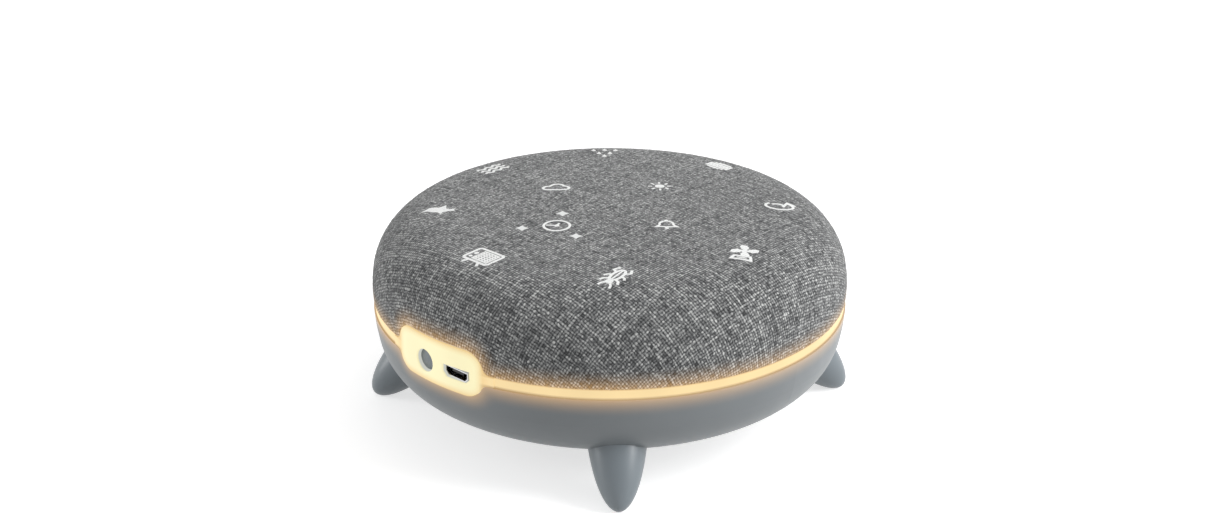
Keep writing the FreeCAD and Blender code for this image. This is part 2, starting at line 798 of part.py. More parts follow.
def main_board():
    """Ring-shaped board at the height of the band, with a tab that reaches into the port panel."""
    board = tube(board_hole_radius, board_radius, board_bottom, board_top)
    sides = (usb_offset - usb_width / 2 - board_tab_side, usb_offset + usb_width / 2 + board_tab_side)
    tab = block(sides, (-board_tab_reach, -board_radius + 3.0), (board_bottom, board_top))
    board = fuse_all([board, tab]).removeSplitter()
    tools = []
    for a in post_azimuths:
        tools.append(cylinder(body_post_radius + pass_gap, board_bottom, board_top, spot(a, body_post_circle)))
    for a in quarter_azimuths:
        tools.append(cylinder(board_screw[0] + slide_gap, board_bottom, board_top, spot(a, board_post_circle)))
    half = button_flange_radius + seat_gap
    notch_end = flange_stop() - button_flange_thickness - button_travel - seat_gap
    sides = (button_offset - half, button_offset + half)
    tools.append(block(sides, (-board_radius - 1.0, -notch_end), (board_bottom, board_top)))
    return cut_all(board, tools)


def side_leds():
    """White side-view lights round the board's edge, aimed at the light ring."""
    found = []
    for k in range(int(360 / led_step)):
        azimuth = (k + 0.5) * led_step
        if min(azimuth, 360 - azimuth) < led_blank:
            continue
        body = turned_block(led_size, azimuth, led_circle, board_top)
        lens = turned_block(
            led_lens_size, azimuth, led_circle + led_size[1] / 2 + led_lens_size[1] / 2,
            board_top + (led_size[2] - led_lens_size[2]) / 2,
        )
        found.append(body.fuse(lens))
    return Part.makeCompound(found)


def capacitors():
    """Aluminium can capacitors with the usual groove near the foot."""
    found = []
    for azimuth in capacitor_azimuths:
        place = spot(azimuth, parts_circle)
        can = cylinder(capacitor_radius, board_top, board_top + capacitor_height, place)
        groove = tube(
            capacitor_radius - capacitor_groove, capacitor_radius + 1.0,
            board_top + 2 * capacitor_groove, board_top + 4 * capacitor_groove, place,
        )
        found.append(can.cut(groove))
    return Part.makeCompound(found)


def touch_board():
    """Round board under the crown, open in the middle and at four side holes for the sound."""
    board = tube(sound_hole_radius, touch_radius, touch_bottom, touch_top)
    tools = []
    for a in quarter_azimuths:
        tools.append(cylinder(side_hole_radius, touch_bottom, touch_top, spot(a, side_hole_circle)))
        tools.append(
            cylinder(speaker_post_radius + pass_gap, touch_bottom, touch_top, spot(a, speaker_post_circle))
        )
    for a in post_azimuths:
        tools.append(cylinder(body_post_radius + pass_gap, touch_bottom, touch_top, spot(a, body_post_circle)))
    return cut_all(board, tools)


def touch_electrodes():
    """Copper pads between the touch board and the dome, one under each symbol."""
    places = [
        (spot(360.0 / outer_pad_count * k, outer_pad_circle), outer_pad_radius) for k in range(outer_pad_count)
    ]
    places += [
        (spot(360.0 / inner_pad_count * k, inner_pad_circle), inner_pad_radius) for k in range(inner_pad_count)
    ]
    tools = []
    for azimuths, circle, radius in (
        (quarter_azimuths, speaker_post_circle, speaker_post_radius),
        (post_azimuths, body_post_circle, body_post_radius),
    ):
        tools += [cylinder(radius + pass_gap, touch_bottom, touch_face, spot(a, circle)) for a in azimuths]
    pads = [cylinder(radius, touch_top, touch_face, place) for place, radius in places]
    return Part.makeCompound([cut_all(pad, tools) for pad in pads])


def timer_leds():
    width, depth, height = timer_light_size
    found = []
    for x, y in timer_light_places():
        sides = (x - width / 2, x + width / 2)
        found.append(block(sides, (y - depth / 2, y + depth / 2), (touch_top, touch_top + height)))
    return Part.makeCompound(found)


def usb_shell():
    """Sheet metal tube of the socket, open towards the plug and flared at its mouth."""
    outer = prism_along_y(usb_outline(0.0), usb_front, usb_front - usb_depth)
    inner = prism_along_y(usb_outline(-usb_sheet), usb_front + 1.0, usb_front - usb_depth + usb_sheet)
    return outer.cut(inner)


def usb_tongue():
    """Plastic tongue that carries the contacts, with the block that closes the socket's back."""
    back = usb_front - usb_depth + usb_sheet
    filling = prism_along_y(usb_outline(-usb_sheet), back + usb_block_depth, back)
    high = usb_height_above + usb_tongue_thickness
    tongue = block(
        (usb_offset - usb_tongue_width / 2, usb_offset + usb_tongue_width / 2),
        (-back - usb_block_depth - usb_tongue_length, -back - usb_block_depth),
        (high - usb_tongue_thickness, high),
    )
    return fuse_all([filling, tongue]).removeSplitter()


def usb_contacts():
    back = usb_front - usb_depth + usb_sheet + usb_block_depth
    found = []
    for k in range(usb_pin_count):
        x = usb_offset + (k - (usb_pin_count - 1) / 2) * usb_pin_pitch
        found.append(
            block(
                (x - usb_pin_width / 2, x + usb_pin_width / 2),
                (-back - usb_tongue_length * 0.9, -back),
                (usb_height_above - usb_pin_thickness, usb_height_above),
            )
        )
    return Part.makeCompound(found)


def speaker_basket():
    """Pressed steel frame: flange with four ears, conical wall with windows, shelf and foot."""
    foot_top = plate_top + basket_wall
    slope_top = flange_radius - 0.6
    outline = [
        (flange_bore, flange_top), (flange_radius, flange_top), (flange_radius, flange_bottom),
        (slope_top, flange_bottom), (basket_foot_radius, plate_top), (plate_hole(), plate_top),
        (plate_hole(), foot_top), (basket_foot_radius - basket_wall, foot_top),
        (flange_bore, flange_bottom),
    ]
    frame = spin_points(outline)
    run = (flange_bottom - plate_top) / (slope_top - basket_foot_radius)
    shelf_outer = basket_foot_radius + (spider_seat - plate_top) / run - basket_wall / 2
    shelf = tube(spider_shelf_inner, shelf_outer, spider_seat - shelf_thickness, spider_seat)
    reach = speaker_post_circle + ear_width / 2 - flange_thickness / 2
    ears = []
    for a in quarter_azimuths:
        sides = (-ear_width / 2, ear_width / 2)
        ear = block(sides, (-reach + ear_width / 2, -flange_bore - 1.0), (flange_bottom, flange_top))
        ear = ear.fuse(cylinder(ear_width / 2, flange_bottom, flange_top, (0, -reach + ear_width / 2)))
        ear.rotate(vec(0, 0, 0), vec(0, 0, 1), a)
        ears.append(ear)
    width, depth = terminal_size[:2]
    sides = (-width / 2, width / 2)
    tab = block(sides, (flange_bore + 1.0, terminal_near() + depth), (flange_bottom, flange_top))
    frame = fuse_all([frame, shelf, tab] + ears)
    tools = []
    for k in range(4):
        low, high = spider_seat + window_margin, flange_bottom - window_margin
        window = tube(spider_shelf_inner, flange_radius + 2.0, low, high)
        wedge_end = 2 * (flange_radius + 2.0) * math.tan(math.radians(basket_window_half))
        wedge = prism_wedge(wedge_end, flange_radius * 2, low, high)
        wedge.rotate(vec(0, 0, 0), vec(0, 0, 1), 45.0 + 90.0 * k)
        tools.append(window.common(wedge))
    bore = speaker_screw[0] + slide_gap
    for a in quarter_azimuths:
        tools.append(cylinder(bore, flange_bottom, flange_top, spot(a, speaker_post_circle)))
    return cut_all(frame, tools).removeSplitter()


def prism_wedge(width, length, low, high):
    """A wedge that opens from the axis towards -Y."""
    points = [vec(0, 0, low), vec(width, -length, low), vec(-width, -length, low), vec(0, 0, low)]
    return Part.Face(Part.makePolygon(points)).extrude(vec(0, 0, high - low))


def plate_hole():
    """Bore of the top plate, clear of the winding."""
    return coil_radius + former_wall / 2 + winding_thickness + plate_gap


def speaker_top_plate():
    return tube(plate_hole(), top_plate_radius, plate_bottom, plate_top)


def speaker_magnet():
    return tube(magnet_bore, magnet_radius, magnet_bottom, plate_bottom)


def speaker_yoke():
    """Back plate and pole piece in one, with a vent through the pole."""
    pole = coil_radius - former_wall / 2 - pole_gap
    yoke = cylinder(top_plate_radius, back_plate_bottom, magnet_bottom).fuse(
        cylinder(pole, magnet_bottom, plate_top)
    )
    return yoke.cut(cylinder(pole * 0.4, back_plate_bottom, plate_top)).removeSplitter()


def coil_former():
    low = magnet_bottom + cone_travel + former_floor_gap
    return tube(coil_radius - former_wall / 2, coil_radius + former_wall / 2, low, cone_neck + cone_thickness)


def coil_winding():
    """Longer than the top plate is thick, so that the plate stays within it over the whole travel."""
    inner = coil_radius + former_wall / 2
    return tube(inner, inner + winding_thickness, plate_bottom - cone_travel, plate_top + cone_travel)


def spider():
    """Corrugated ring that centres the coil."""
    inner, outer = coil_radius + former_wall / 2, spider_outer
    flat = outer - spider_shelf_inner
    wave = (spider_shelf_inner - inner - spider_neck) / (2 * spider_wave_count)
    top, bottom = [(inner, spider_seat + spider_thickness)], [(inner, spider_seat)]
    r = inner + spider_neck
    for k in range(2 * spider_wave_count + 1):
        lift = spider_wave if k % 2 else 0.0
        top.append((r, spider_seat + spider_thickness + lift))
        bottom.append((r, spider_seat + lift))
        r += wave
    top.append((spider_shelf_inner + flat, spider_seat + spider_thickness))
    bottom.append((spider_shelf_inner + flat, spider_seat))
    return spin_points(top + bottom[::-1])


def cone_arc(lift):
    """The cone's section between coil and surround, slightly hollow, raised by lift."""
    low_r, high_r = coil_radius + former_wall / 2, surround_roll_inner - seat_gap
    high_z = flange_top - cone_thickness
    middle = ((low_r + high_r) / 2 + cone_bow, (cone_neck + high_z) / 2 - cone_bow)
    marks = [(low_r, cone_neck), middle, (high_r, high_z)]
    return Part.Arc(*[vec(r, 0, z + lift) for r, z in marks]).toShape()


def speaker_cone():
    """Paper cone from the coil's neck up to the surround."""
    low, high = cone_arc(0.0), cone_arc(cone_thickness)
    edges = [low, high]
    for k in (0, 1):
        edges.append(Part.LineSegment(low.Vertexes[k].Point, high.Vertexes[k].Point).toShape())
    return spin(edges)


def cone_height(radius):
    """Top face of the cone at a radius."""
    post = Part.LineSegment(vec(radius, 0, back_plate_bottom), vec(radius, 0, touch_bottom)).toShape()
    return cone_arc(cone_thickness).distToShape(post)[1][0][0].z


def dust_cap():
    """Shallow dome over the coil, standing on the cone."""
    inner_radius = dust_cap_radius - cone_thickness
    base, inner_base = cone_height(dust_cap_radius), cone_height(inner_radius)
    outer_ball = (dust_cap_radius ** 2 + dust_cap_rise ** 2) / (2 * dust_cap_rise)
    top = base + dust_cap_rise
    inner_rise = top - cone_thickness - inner_base
    inner_ball = (inner_radius ** 2 + inner_rise ** 2) / (2 * inner_rise)
    edges = [
        arc_between((0, top), (dust_cap_radius, base), outer_ball),
        arc_between((0, top - cone_thickness), (inner_radius, inner_base), inner_ball),
        line((0, top), (0, top - cone_thickness)),
        line((dust_cap_radius, base), (inner_radius, inner_base)),
    ]
    return spin(edges)


def arc_between(crest, rim, ball):
    """An arc from a crest on the axis down to a rim, on a ball centred on the axis."""
    turn = math.asin(rim[0] / ball) / 2
    middle = (ball * math.sin(turn), crest[1] - ball + ball * math.cos(turn))
    return Part.Arc(*[vec(r, 0, z) for r, z in (crest, middle, rim)]).toShape()


def surround():
    """Rubber half roll, hanging down between cone and flange."""
    middle = (surround_roll_inner + surround_roll_outer) / 2
    radius = (surround_roll_outer - surround_roll_inner) / 2
    low, high = flange_top, flange_top + surround_thickness
    edges = [
        line((surround_outer, low), (surround_outer, high)),
        line((surround_outer, low), (middle + radius, low)),
        arc((middle, low), radius, 0.0, -180.0),
        line((middle - radius, low), (surround_inner, low)),
        line((surround_inner, low), (surround_inner, high)),
        line((surround_inner, high), (middle - radius + surround_thickness, high)),
        line((middle - radius + surround_thickness, high), (middle - radius + surround_thickness, low)),
        arc((middle, low), radius - surround_thickness, -180.0, 0.0),
        line((middle + radius - surround_thickness, low), (middle + radius - surround_thickness, high)),
        line((middle + radius - surround_thickness, high), (surround_outer, high)),
    ]
    return spin(edges)


def gasket():
    return tube(surround_outer - gasket_width, surround_outer, flange_top + surround_thickness, touch_bottom)


def terminal_near():
    """The terminal plate hangs from a tab behind the flange, just clear of the basket's wall."""
    return flange_radius + seat_gap


def speaker_terminal():
    """Fibre plate that carries the two solder lugs."""
    width, depth, height = terminal_size
    near = terminal_near()
    return block((-width / 2, width / 2), (near, near + depth), (flange_bottom - height, flange_bottom))


def lug_low():
    return flange_bottom - terminal_size[2] + terminal_margin


def solder_lugs():
    width, depth, height = lug_size
    near = terminal_near() + terminal_size[1]
    found = []
    for side in (-1, 1):
        x = side * lug_spacing / 2
        sides = (x - width / 2, x + width / 2)
        found.append(block(sides, (near, near + depth), (lug_low(), lug_low() + height)))
    return Part.makeCompound(found)


def wire_along(points, diameter):
    """A round wire on straight runs joined by tangent arcs, each as large as its two runs allow."""
    points = [vec(*p) for p in points]
    edges = []
    radii = []
    start = points[0]
    for before, here, after in zip(points, points[1:], points[2:]):
        incoming, outgoing = here.sub(before), after.sub(here)
        half_turn = incoming.getAngle(outgoing) / 2
        back = 0.45 * min(incoming.Length, outgoing.Length)
        incoming.normalize()
        outgoing.normalize()
        radius = back / math.tan(half_turn)
        first, last = here - incoming * back, here + outgoing * back
        centre = here + (outgoing - incoming).normalize() * (radius / math.cos(half_turn))
        middle = centre + (here - centre).normalize() * radius
        edges.append(Part.LineSegment(start, first).toShape())
        edges.append(Part.Arc(first, middle, last).toShape())
        radii.append(round(radius, 2))
        start = last
    edges.append(Part.LineSegment(start, points[-1]).toShape())
    path = Part.Wire(edges)
    ring = Part.Wire([Part.Circle(points[0], points[1] - points[0], diameter / 2).toShape()])
    wire = path.makePipeShell([ring], True, False)
    share = wire.Volume / (math.pi * diameter ** 2 / 4) / path.Length
    print("wire", round(path.Length, 2), "long, arcs", radii, "volume share", round(share, 4))
    return wire


def speaker_lead(side):
    """One lead from its solder lug down to the plug on the main board."""
    near = terminal_near() + terminal_size[1] + lug_size[1] + lead_diameter / 2
    x, end = side * lug_spacing / 2, side * wire_pitch / 2
    level = plug_middle()
    reach = socket_front - plug_show
    drop = reach - near
    points = [
        (x, near, lug_low() + lug_size[2] / 2),
        (x, near + 0.1, level + drop * 0.45),
        (end, near + drop * 0.47, level),
        (end, reach, level),
    ]
    return wire_along(points, lead_diameter)


def plug_middle():
    return board_top + socket_wall + slide_gap + plug_size[2] / 2


def speaker_plug():
    width, length, height = plug_size
    low = plug_middle() - height / 2
    near = socket_front - plug_show
    body = block((-width / 2, width / 2), (near, near + length), (low, low + height))
    latch = block(
        (-plug_latch[0] / 2, plug_latch[0] / 2), (near, near + plug_show - seat_gap),
        (low + height, low + height + plug_latch[1]),
    )
    return body.fuse(latch).removeSplitter()


def speaker_socket():
    """Open-topped header on the main board that holds the speaker plug."""
    width, length, height = plug_size
    near, far = socket_front, socket_front - plug_show + length + slide_gap + socket_wall
    half = width / 2 + slide_gap + socket_wall
    top = board_top + 2 * socket_wall + 2 * slide_gap + height
    body = block((-half, half), (near, far), (board_top, top))
    room = block(
        (-width / 2 - slide_gap, width / 2 + slide_gap), (near - 1.0, far - socket_wall),
        (board_top + socket_wall, top - socket_wall),
    )
    return body.cut(room)


def ribbon_socket(low):
    width, depth, height = ribbon_socket_size
    x = -ribbon_circle
    return block((x - width / 2, x + width / 2), (-depth / 2, depth / 2), (low, low + height))


def touch_ribbon():
    """Flat cable from the touch board down to the main board, bowed outwards."""
    high = touch_bottom - ribbon_socket_size[2]
    low = board_top + ribbon_socket_size[2]
    half = ribbon_thickness / 2

    def bow(offset):
        x = -ribbon_circle + offset
        return Part.Arc(vec(x, 0, low), vec(x - ribbon_bow, 0, (low + high) / 2), vec(x, 0, high)).toShape()

    x = -ribbon_circle
    ends = [line((x - half, z), (x + half, z)) for z in (low, high)]
    edges = [bow(-half), bow(half)] + ends
    face = Part.Face(Part.Wire(Part.__sortEdges__(edges)))
    face.translate(vec(0, -ribbon_width / 2, 0))
    return face.extrude(vec(0, ribbon_width, 0))


nodes = {
    "fabric_cover": fabric_cover(),
    "top_shell": top_shell(),
    "light_ring": light_ring(),
    "bottom_shell": bottom_shell(),
    "foot_front_right": foot(foot_azimuths[0]),
    "foot_rear_right": foot(foot_azimuths[1]),
    "foot_rear_left": foot(foot_azimuths[2]),
    "foot_front_left": foot(foot_azimuths[3]),
    "power_button": power_button(),
    "switch_plunger": switch_plunger(),
    "switch_body": switch_body(),
    "switch_cover": switch_cover(),
    "switch_dome": switch_dome(),
    "usb_shell": usb_shell(),
    "usb_tongue": usb_tongue(),
    "usb_contacts": usb_contacts(),
    "main_board": main_board(),
    "side_leds": side_leds(),
    "controller_chip": turned_block(controller_size, controller_azimuth, parts_circle, board_top),
    "memory_chip": turned_block(memory_size, memory_azimuth, parts_circle, board_top),
    "amplifier_chip": turned_block(amplifier_size, amplifier_azimuth, parts_circle, board_top),
    "power_inductor": turned_block(inductor_size, inductor_azimuth, parts_circle, board_top),
    "capacitors": capacitors(),
    "touch_board": touch_board(),
    "touch_electrodes": touch_electrodes(),
    "touch_chip": turned_block(
        touch_chip_size, touch_chip_azimuth, touch_chip_circle, touch_bottom - touch_chip_size[2]
    ),
    "timer_leds": timer_leds(),
    "touch_ribbon": touch_ribbon(),
    "ribbon_socket_upper": ribbon_socket(touch_bottom - ribbon_socket_size[2]),
    "ribbon_socket_lower": ribbon_socket(board_top),
    "speaker_basket": speaker_basket(),
    "speaker_top_plate": speaker_top_plate(),
    "speaker_magnet": speaker_magnet(),
    "speaker_yoke": speaker_yoke(),
    "speaker_spider": spider(),
    "speaker_surround": surround(),
    "speaker_cone": speaker_cone(),
    "speaker_dust_cap": dust_cap(),
    "coil_former": coil_former(),
    "coil_winding": coil_winding(),
    "speaker_gasket": gasket(),
    "speaker_terminal": speaker_terminal(),
    "solder_lugs": solder_lugs(),
    "speaker_lead_red": speaker_lead(1),
    "speaker_lead_black": speaker_lead(-1),
    "speaker_plug": speaker_plug(),
    "speaker_socket": speaker_socket(),
    "body_screws": body_screws(),
    "board_screws": board_screws(),
    "speaker_screws": speaker_screws(),
    "foot_screws": foot_screws(),
}

os.makedirs("parts", exist_ok=True)
for name, shape in nodes.items():
    bad = [solid for solid in shape.Solids if not solid.isValid() or solid.Volume <= 0]
    if bad or not shape.Solids:
        print("check", name, len(shape.Solids), "solids", len(bad), "bad")
    shape.exportStep("parts/" + name + ".step")
print(len(nodes), "nodes written")
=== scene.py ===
from math import atan2, ceil, cos, hypot, pi, radians, sin, sqrt, tan

import bmesh
import bpy
from mathutils import Matrix, Vector
from mathutils.geometry import delaunay_2d_cdt


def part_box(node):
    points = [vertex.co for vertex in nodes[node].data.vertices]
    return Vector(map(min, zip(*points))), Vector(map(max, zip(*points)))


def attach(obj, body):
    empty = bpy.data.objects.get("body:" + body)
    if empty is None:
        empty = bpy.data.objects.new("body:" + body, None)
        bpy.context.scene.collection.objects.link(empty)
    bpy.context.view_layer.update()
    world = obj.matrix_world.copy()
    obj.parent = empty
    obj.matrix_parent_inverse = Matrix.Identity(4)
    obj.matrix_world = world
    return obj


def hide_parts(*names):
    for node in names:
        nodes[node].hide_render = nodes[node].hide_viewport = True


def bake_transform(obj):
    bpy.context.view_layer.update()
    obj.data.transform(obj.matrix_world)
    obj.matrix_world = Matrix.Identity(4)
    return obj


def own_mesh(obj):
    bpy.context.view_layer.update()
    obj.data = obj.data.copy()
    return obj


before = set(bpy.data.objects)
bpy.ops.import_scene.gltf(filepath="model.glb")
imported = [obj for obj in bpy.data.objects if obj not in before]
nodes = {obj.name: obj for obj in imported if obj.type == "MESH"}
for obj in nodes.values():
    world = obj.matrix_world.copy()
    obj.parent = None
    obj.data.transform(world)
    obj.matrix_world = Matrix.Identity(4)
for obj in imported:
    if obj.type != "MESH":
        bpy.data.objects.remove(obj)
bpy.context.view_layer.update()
print("frame loaded with", len(nodes), "nodes")

mm = 0.001

# Sizes of the whole body, as in the CAD model. Rises are heights above the middle of the light band.
body = {
    "radius": 60.0,
    "ringHeight": 29.5,
    "bandHeight": 2.6,
    "domeRise": 3.8,
    "wallArc": 26.8,
    "wallTurn": 10.8,
    "cornerArc": 15.8,
    "cornerTurn": 87.5,
    "panelMiddle": 0.6,
    "panelHalfWidth": 14.2,
    "panelHalfHeight": 5.75,
    "panelRise": 0.65,
    "panelCorner": 5.0,
    "panelFlare": 2.0,
    "panelFace": 59.7,
}


def placeAt(turn, radius, height):  # turn 0 is the port panel's side, a quarter turn is +X, in mm
    return Vector((radius * sin(turn), -radius * cos(turn), height)) * mm


def linear(red, green, blue, alpha=1.0):  # a display colour from 0 to 255 as Blender's linear colour
    def one(c):
        c = c / 255.0
        return c / 12.92 if c <= 0.04045 else ((c + 0.055) / 1.055) ** 2.4
    return (one(red), one(green), one(blue), alpha)


black, white = linear(0, 0, 0), linear(255, 255, 255)


# Shader building

def newTree(name):
    material = bpy.data.materials.new(name)
    material.use_nodes = True
    tree = material.node_tree
    tree.nodes.clear()
    return material, tree


def put(tree, kind, values=None, **settings):
    node = tree.nodes.new(kind)
    for key, value in settings.items():
        setattr(node, key, value)
    for key, value in (values or {}).items():
        if isinstance(value, bpy.types.NodeSocket):
            tree.links.new(value, node.inputs[key])
        else:
            node.inputs[key].default_value = value
    return node


def calc(tree, operation, a, b=0.0, c=None, clamp=False):
    values = {0: a, 1: b} if c is None else {0: a, 1: b, 2: c}
    return put(tree, "ShaderNodeMath", values, operation=operation, use_clamp=clamp).outputs[0]


def times(tree, a, b, clamp=False):
    return calc(tree, "MULTIPLY", a, b, clamp=clamp)


def timesPlus(tree, a, b, c, clamp=False):
    return calc(tree, "MULTIPLY_ADD", a, b, c, clamp)


def vectorMath(tree, operation, values):
    return put(tree, "ShaderNodeVectorMath", values, operation=operation).outputs[0]


def noise(tree, place, scale, detail, output="Fac"):
    values = {"Vector": place, "Scale": scale, "Detail": detail}
    return put(tree, "ShaderNodeTexNoise", values).outputs[output]


def ramp(tree, factor, stops):
    node = put(tree, "ShaderNodeValToRGB", {"Fac": factor})
    elements = node.color_ramp.elements
    while len(elements) < len(stops):
        elements.new(0.5)
    for element, (place, colour) in zip(elements, stops):
        element.position = place
        element.color = colour
    return node.outputs["Color"]


def blendColour(tree, factor, first, second, kind="MIX"):
    values = {0: factor, 6: first, 7: second}
    return put(tree, "ShaderNodeMix", values, data_type="RGBA", blend_type=kind).outputs[2]


def newGroup(name, inputs, outputs, kind="Shader", given="Float"):
    group = bpy.data.node_groups.new(name, kind + "NodeTree")
    for label, socket, *value in inputs:
        made = group.interface.new_socket(label, in_out="INPUT", socket_type="NodeSocket" + socket)
        if value:
            made.default_value = value[0]
    for label in outputs:
        group.interface.new_socket(label, in_out="OUTPUT", socket_type="NodeSocket" + given)
    return group, put(group, "NodeGroupInput").outputs, put(group, "NodeGroupOutput").inputs


def useGroup(tree, group, values):
    return put(tree, "ShaderNodeGroup", values, node_tree=group).outputs


def objectPlace(tree):
    return put(tree, "ShaderNodeTexCoord").outputs["Object"]


def surface(tree, values, height=None, strength=0.0, distance=0.0):
    # Principled shader, bumped by a height, with the distance in mm
    if height is not None:
        bump = {"Height": height, "Strength": strength, "Distance": distance * mm}
        values["Normal"] = put(tree, "ShaderNodeBump", bump).outputs["Normal"]
    shader = put(tree, "ShaderNodeBsdfPrincipled", values)
    put(tree, "ShaderNodeOutputMaterial", {"Surface": shader.outputs[0]})


weaveLook = {
    "under": 0.6,  # height of a thread where it passes under another
    "wobble": 0.85,  # how far the threads wander, in mm
    "wanderScale": 0.6,
    "thickest": 3.0,  # fall of a thread's height to its sides: higher is thinner
    "thinner": 3.4,  # by how much more the thinnest falls
    "laneSeeds": (3.1, 57.7),
    "laneStep": 7.31,
    "streakGain": 2.1,  # each gain is how much one cause changes a thread's tone
    "crossingGain": 0.34,
    "yarnGain": 0.32,
    "toneShift": -0.86,
    "darkestThread": 0.25,
    "fuzzScale": 2.4,
    "fuzzGain": 1.7,
    "fuzzShift": 0.15,
}


def makeWeaveGroup():
    # Plain weave of heathered thread, on a flat pattern in mm: the threads' height, and how light the
    # cloth is there, from the tone of the thread in view and the shade between the threads.
    look = weaveLook
    group, inside, outside = newGroup(
        "plain weave",
        [("Pattern", "Vector"), ("Pitch", "Float", 0.8),
         ("Fleck Length", "Float", 2.5), ("Under", "Float", look["under"]),
         ("Wobble", "Float", look["wobble"])],
        ["Height", "Light"],
    )
    pattern = inside["Pattern"]
    wander = noise(group, pattern, look["wanderScale"], 5.0, "Color")
    shift = vectorMath(group, "SUBTRACT", {0: wander, 1: (0.5, 0.5, 0.5)})
    shift = vectorMath(group, "SCALE", {0: shift, "Scale": inside["Wobble"]})
    place = vectorMath(group, "ADD", {0: pattern, 1: shift})
    axes = put(group, "ShaderNodeSeparateXYZ", {"Vector": place})
    cells, centred = [], []
    for k in (0, 1):
        steps = calc(group, "DIVIDE", axes.outputs[k], inside["Pitch"])
        cells.append(calc(group, "FLOOR", steps))
        centred.append(calc(group, "SUBTRACT", calc(group, "SUBTRACT", steps, cells[k]), 0.5))
    parity = calc(group, "MODULO", calc(group, "ABSOLUTE", calc(group, "ADD", cells[0], cells[1])), 2.0)
    warpUp = calc(group, "LESS_THAN", parity, 0.5)
    crossing = put(group, "ShaderNodeCombineXYZ", {"X": cells[0], "Y": cells[1]})
    chance = put(group, "ShaderNodeTexWhiteNoise", {"Vector": crossing.outputs[0]}, noise_dimensions="3D")
    chances = put(group, "ShaderNodeSeparateColor", {"Color": chance.outputs["Color"]})
    heights, lights = [], []
    for k, seed in enumerate(look["laneSeeds"]):
        onTop = warpUp if k == 0 else calc(group, "SUBTRACT", 1.0, warpUp)
        bow = calc(group, "COSINE", times(group, centred[1 - k], pi))
        over = times(group, onTop, timesPlus(group, bow, 0.5, 0.5))
        over = calc(group, "MAXIMUM", over, inside["Under"])
        narrow = timesPlus(group, chances.outputs[k], look["thinner"], look["thickest"])
        fall = times(group, times(group, centred[k], centred[k]), narrow)
        ridge = calc(group, "SQRT", calc(group, "MAXIMUM", calc(group, "SUBTRACT", 1.0, fall), 0.0))
        heights.append(times(group, ridge, over))
        run = calc(group, "DIVIDE", axes.outputs[1 - k], inside["Fleck Length"])
        lane = timesPlus(group, cells[k], look["laneStep"], seed)
        spot = put(group, "ShaderNodeCombineXYZ", {"X": run, "Y": lane, "Z": seed})
        streak = noise(group, spot.outputs[0], 1.0, 2.0)
        yarn = put(group, "ShaderNodeTexWhiteNoise", {"W": lane}, noise_dimensions="1D").outputs["Value"]
        tone = timesPlus(group, streak, look["streakGain"], look["toneShift"])
        tone = timesPlus(group, chances.outputs[2], look["crossingGain"], tone)
        tone = timesPlus(group, yarn, look["yarnGain"], tone, clamp=True)
        bright = timesPlus(group, tone, 1 - look["darkestThread"], look["darkestThread"])
        lights.append(times(group, heights[k], bright))
    group.links.new(calc(group, "MAXIMUM", *heights), outside["Height"])
    fuzz = noise(group, place, look["fuzzScale"], 2.0)
    fuzz = timesPlus(group, fuzz, look["fuzzGain"], look["fuzzShift"])
    group.links.new(times(group, calc(group, "MAXIMUM", *lights), fuzz), outside["Light"])
    return group


def panelPlaces(tree, place):  # x, y, rise over the band, sideways and up from the panel's middle
    axes = put(tree, "ShaderNodeSeparateXYZ", {"Vector": place})
    x, y, z = [times(tree, axes.outputs[k], 1 / mm) for k in range(3)]
    rise = calc(tree, "SUBTRACT", z, body["ringHeight"])
    sideways = calc(tree, "ABSOLUTE", calc(tree, "SUBTRACT", x, body["panelMiddle"]))
    upwards = calc(tree, "ABSOLUTE", calc(tree, "SUBTRACT", rise, body["panelRise"]))
    return x, y, rise, sideways, upwards


def makeGlowGroup():
    # How strongly the lit band and the port panel light what lies beside them, from Object coordinates.
    farAway, softJoin = 1000.0, 2.0
    group, inside, outside = newGroup(
        "glow beside the light", [("Object", "Vector"), ("Reach", "Float", 5.0)], ["Glow"]
    )
    x, y, rise, sideways, upwards = panelPlaces(group, inside["Object"])
    band = calc(group, "SUBTRACT", calc(group, "ABSOLUTE", rise), body["bandHeight"] / 2)
    beyond = []
    for distance, half in ((sideways, body["panelHalfWidth"]), (upwards, body["panelHalfHeight"])):
        past = calc(group, "SUBTRACT", distance, half - body["panelCorner"])
        beyond.append(calc(group, "MAXIMUM", past, 0.0))
    square = timesPlus(group, beyond[0], beyond[0], times(group, beyond[1], beyond[1]))
    panel = calc(group, "SUBTRACT", calc(group, "SQRT", square), body["panelCorner"])
    panel = calc(group, "ADD", panel, times(group, calc(group, "GREATER_THAN", y, 0.0), farAway))
    nearest = calc(group, "SMOOTH_MIN", band, panel, softJoin)
    share = calc(group, "DIVIDE", calc(group, "MAXIMUM", nearest, 0.0), inside["Reach"])
    left = calc(group, "SUBTRACT", 1.0, share, clamp=True)
    group.links.new(times(group, left, left), outside["Glow"])
    return group


grainScales = {"Tone": (0.06, 2.0), "Haze": (0.35, 4.0)}  # noise scale per mm, and detail


def makeGrainGroup():
    # Fine moulded grain with a broad, faint change of tone, for the plastics and metals.
    group, inside, outside = newGroup(
        "moulded grain", [("Object", "Vector"), ("Grain Size", "Float", 0.15)],
        ["Height", "Tone", "Haze"],
    )
    place = vectorMath(group, "SCALE", {0: inside["Object"], "Scale": 1 / mm})
    fine = calc(group, "DIVIDE", 1.0, inside["Grain Size"])
    group.links.new(noise(group, place, fine, 3.0), outside["Height"])
    for label, (scale, detail) in grainScales.items():
        group.links.new(noise(group, place, scale, detail), outside[label])
    return group


weaveGroup = makeWeaveGroup()
glowGroup = makeGlowGroup()
grainGroup = makeGrainGroup()

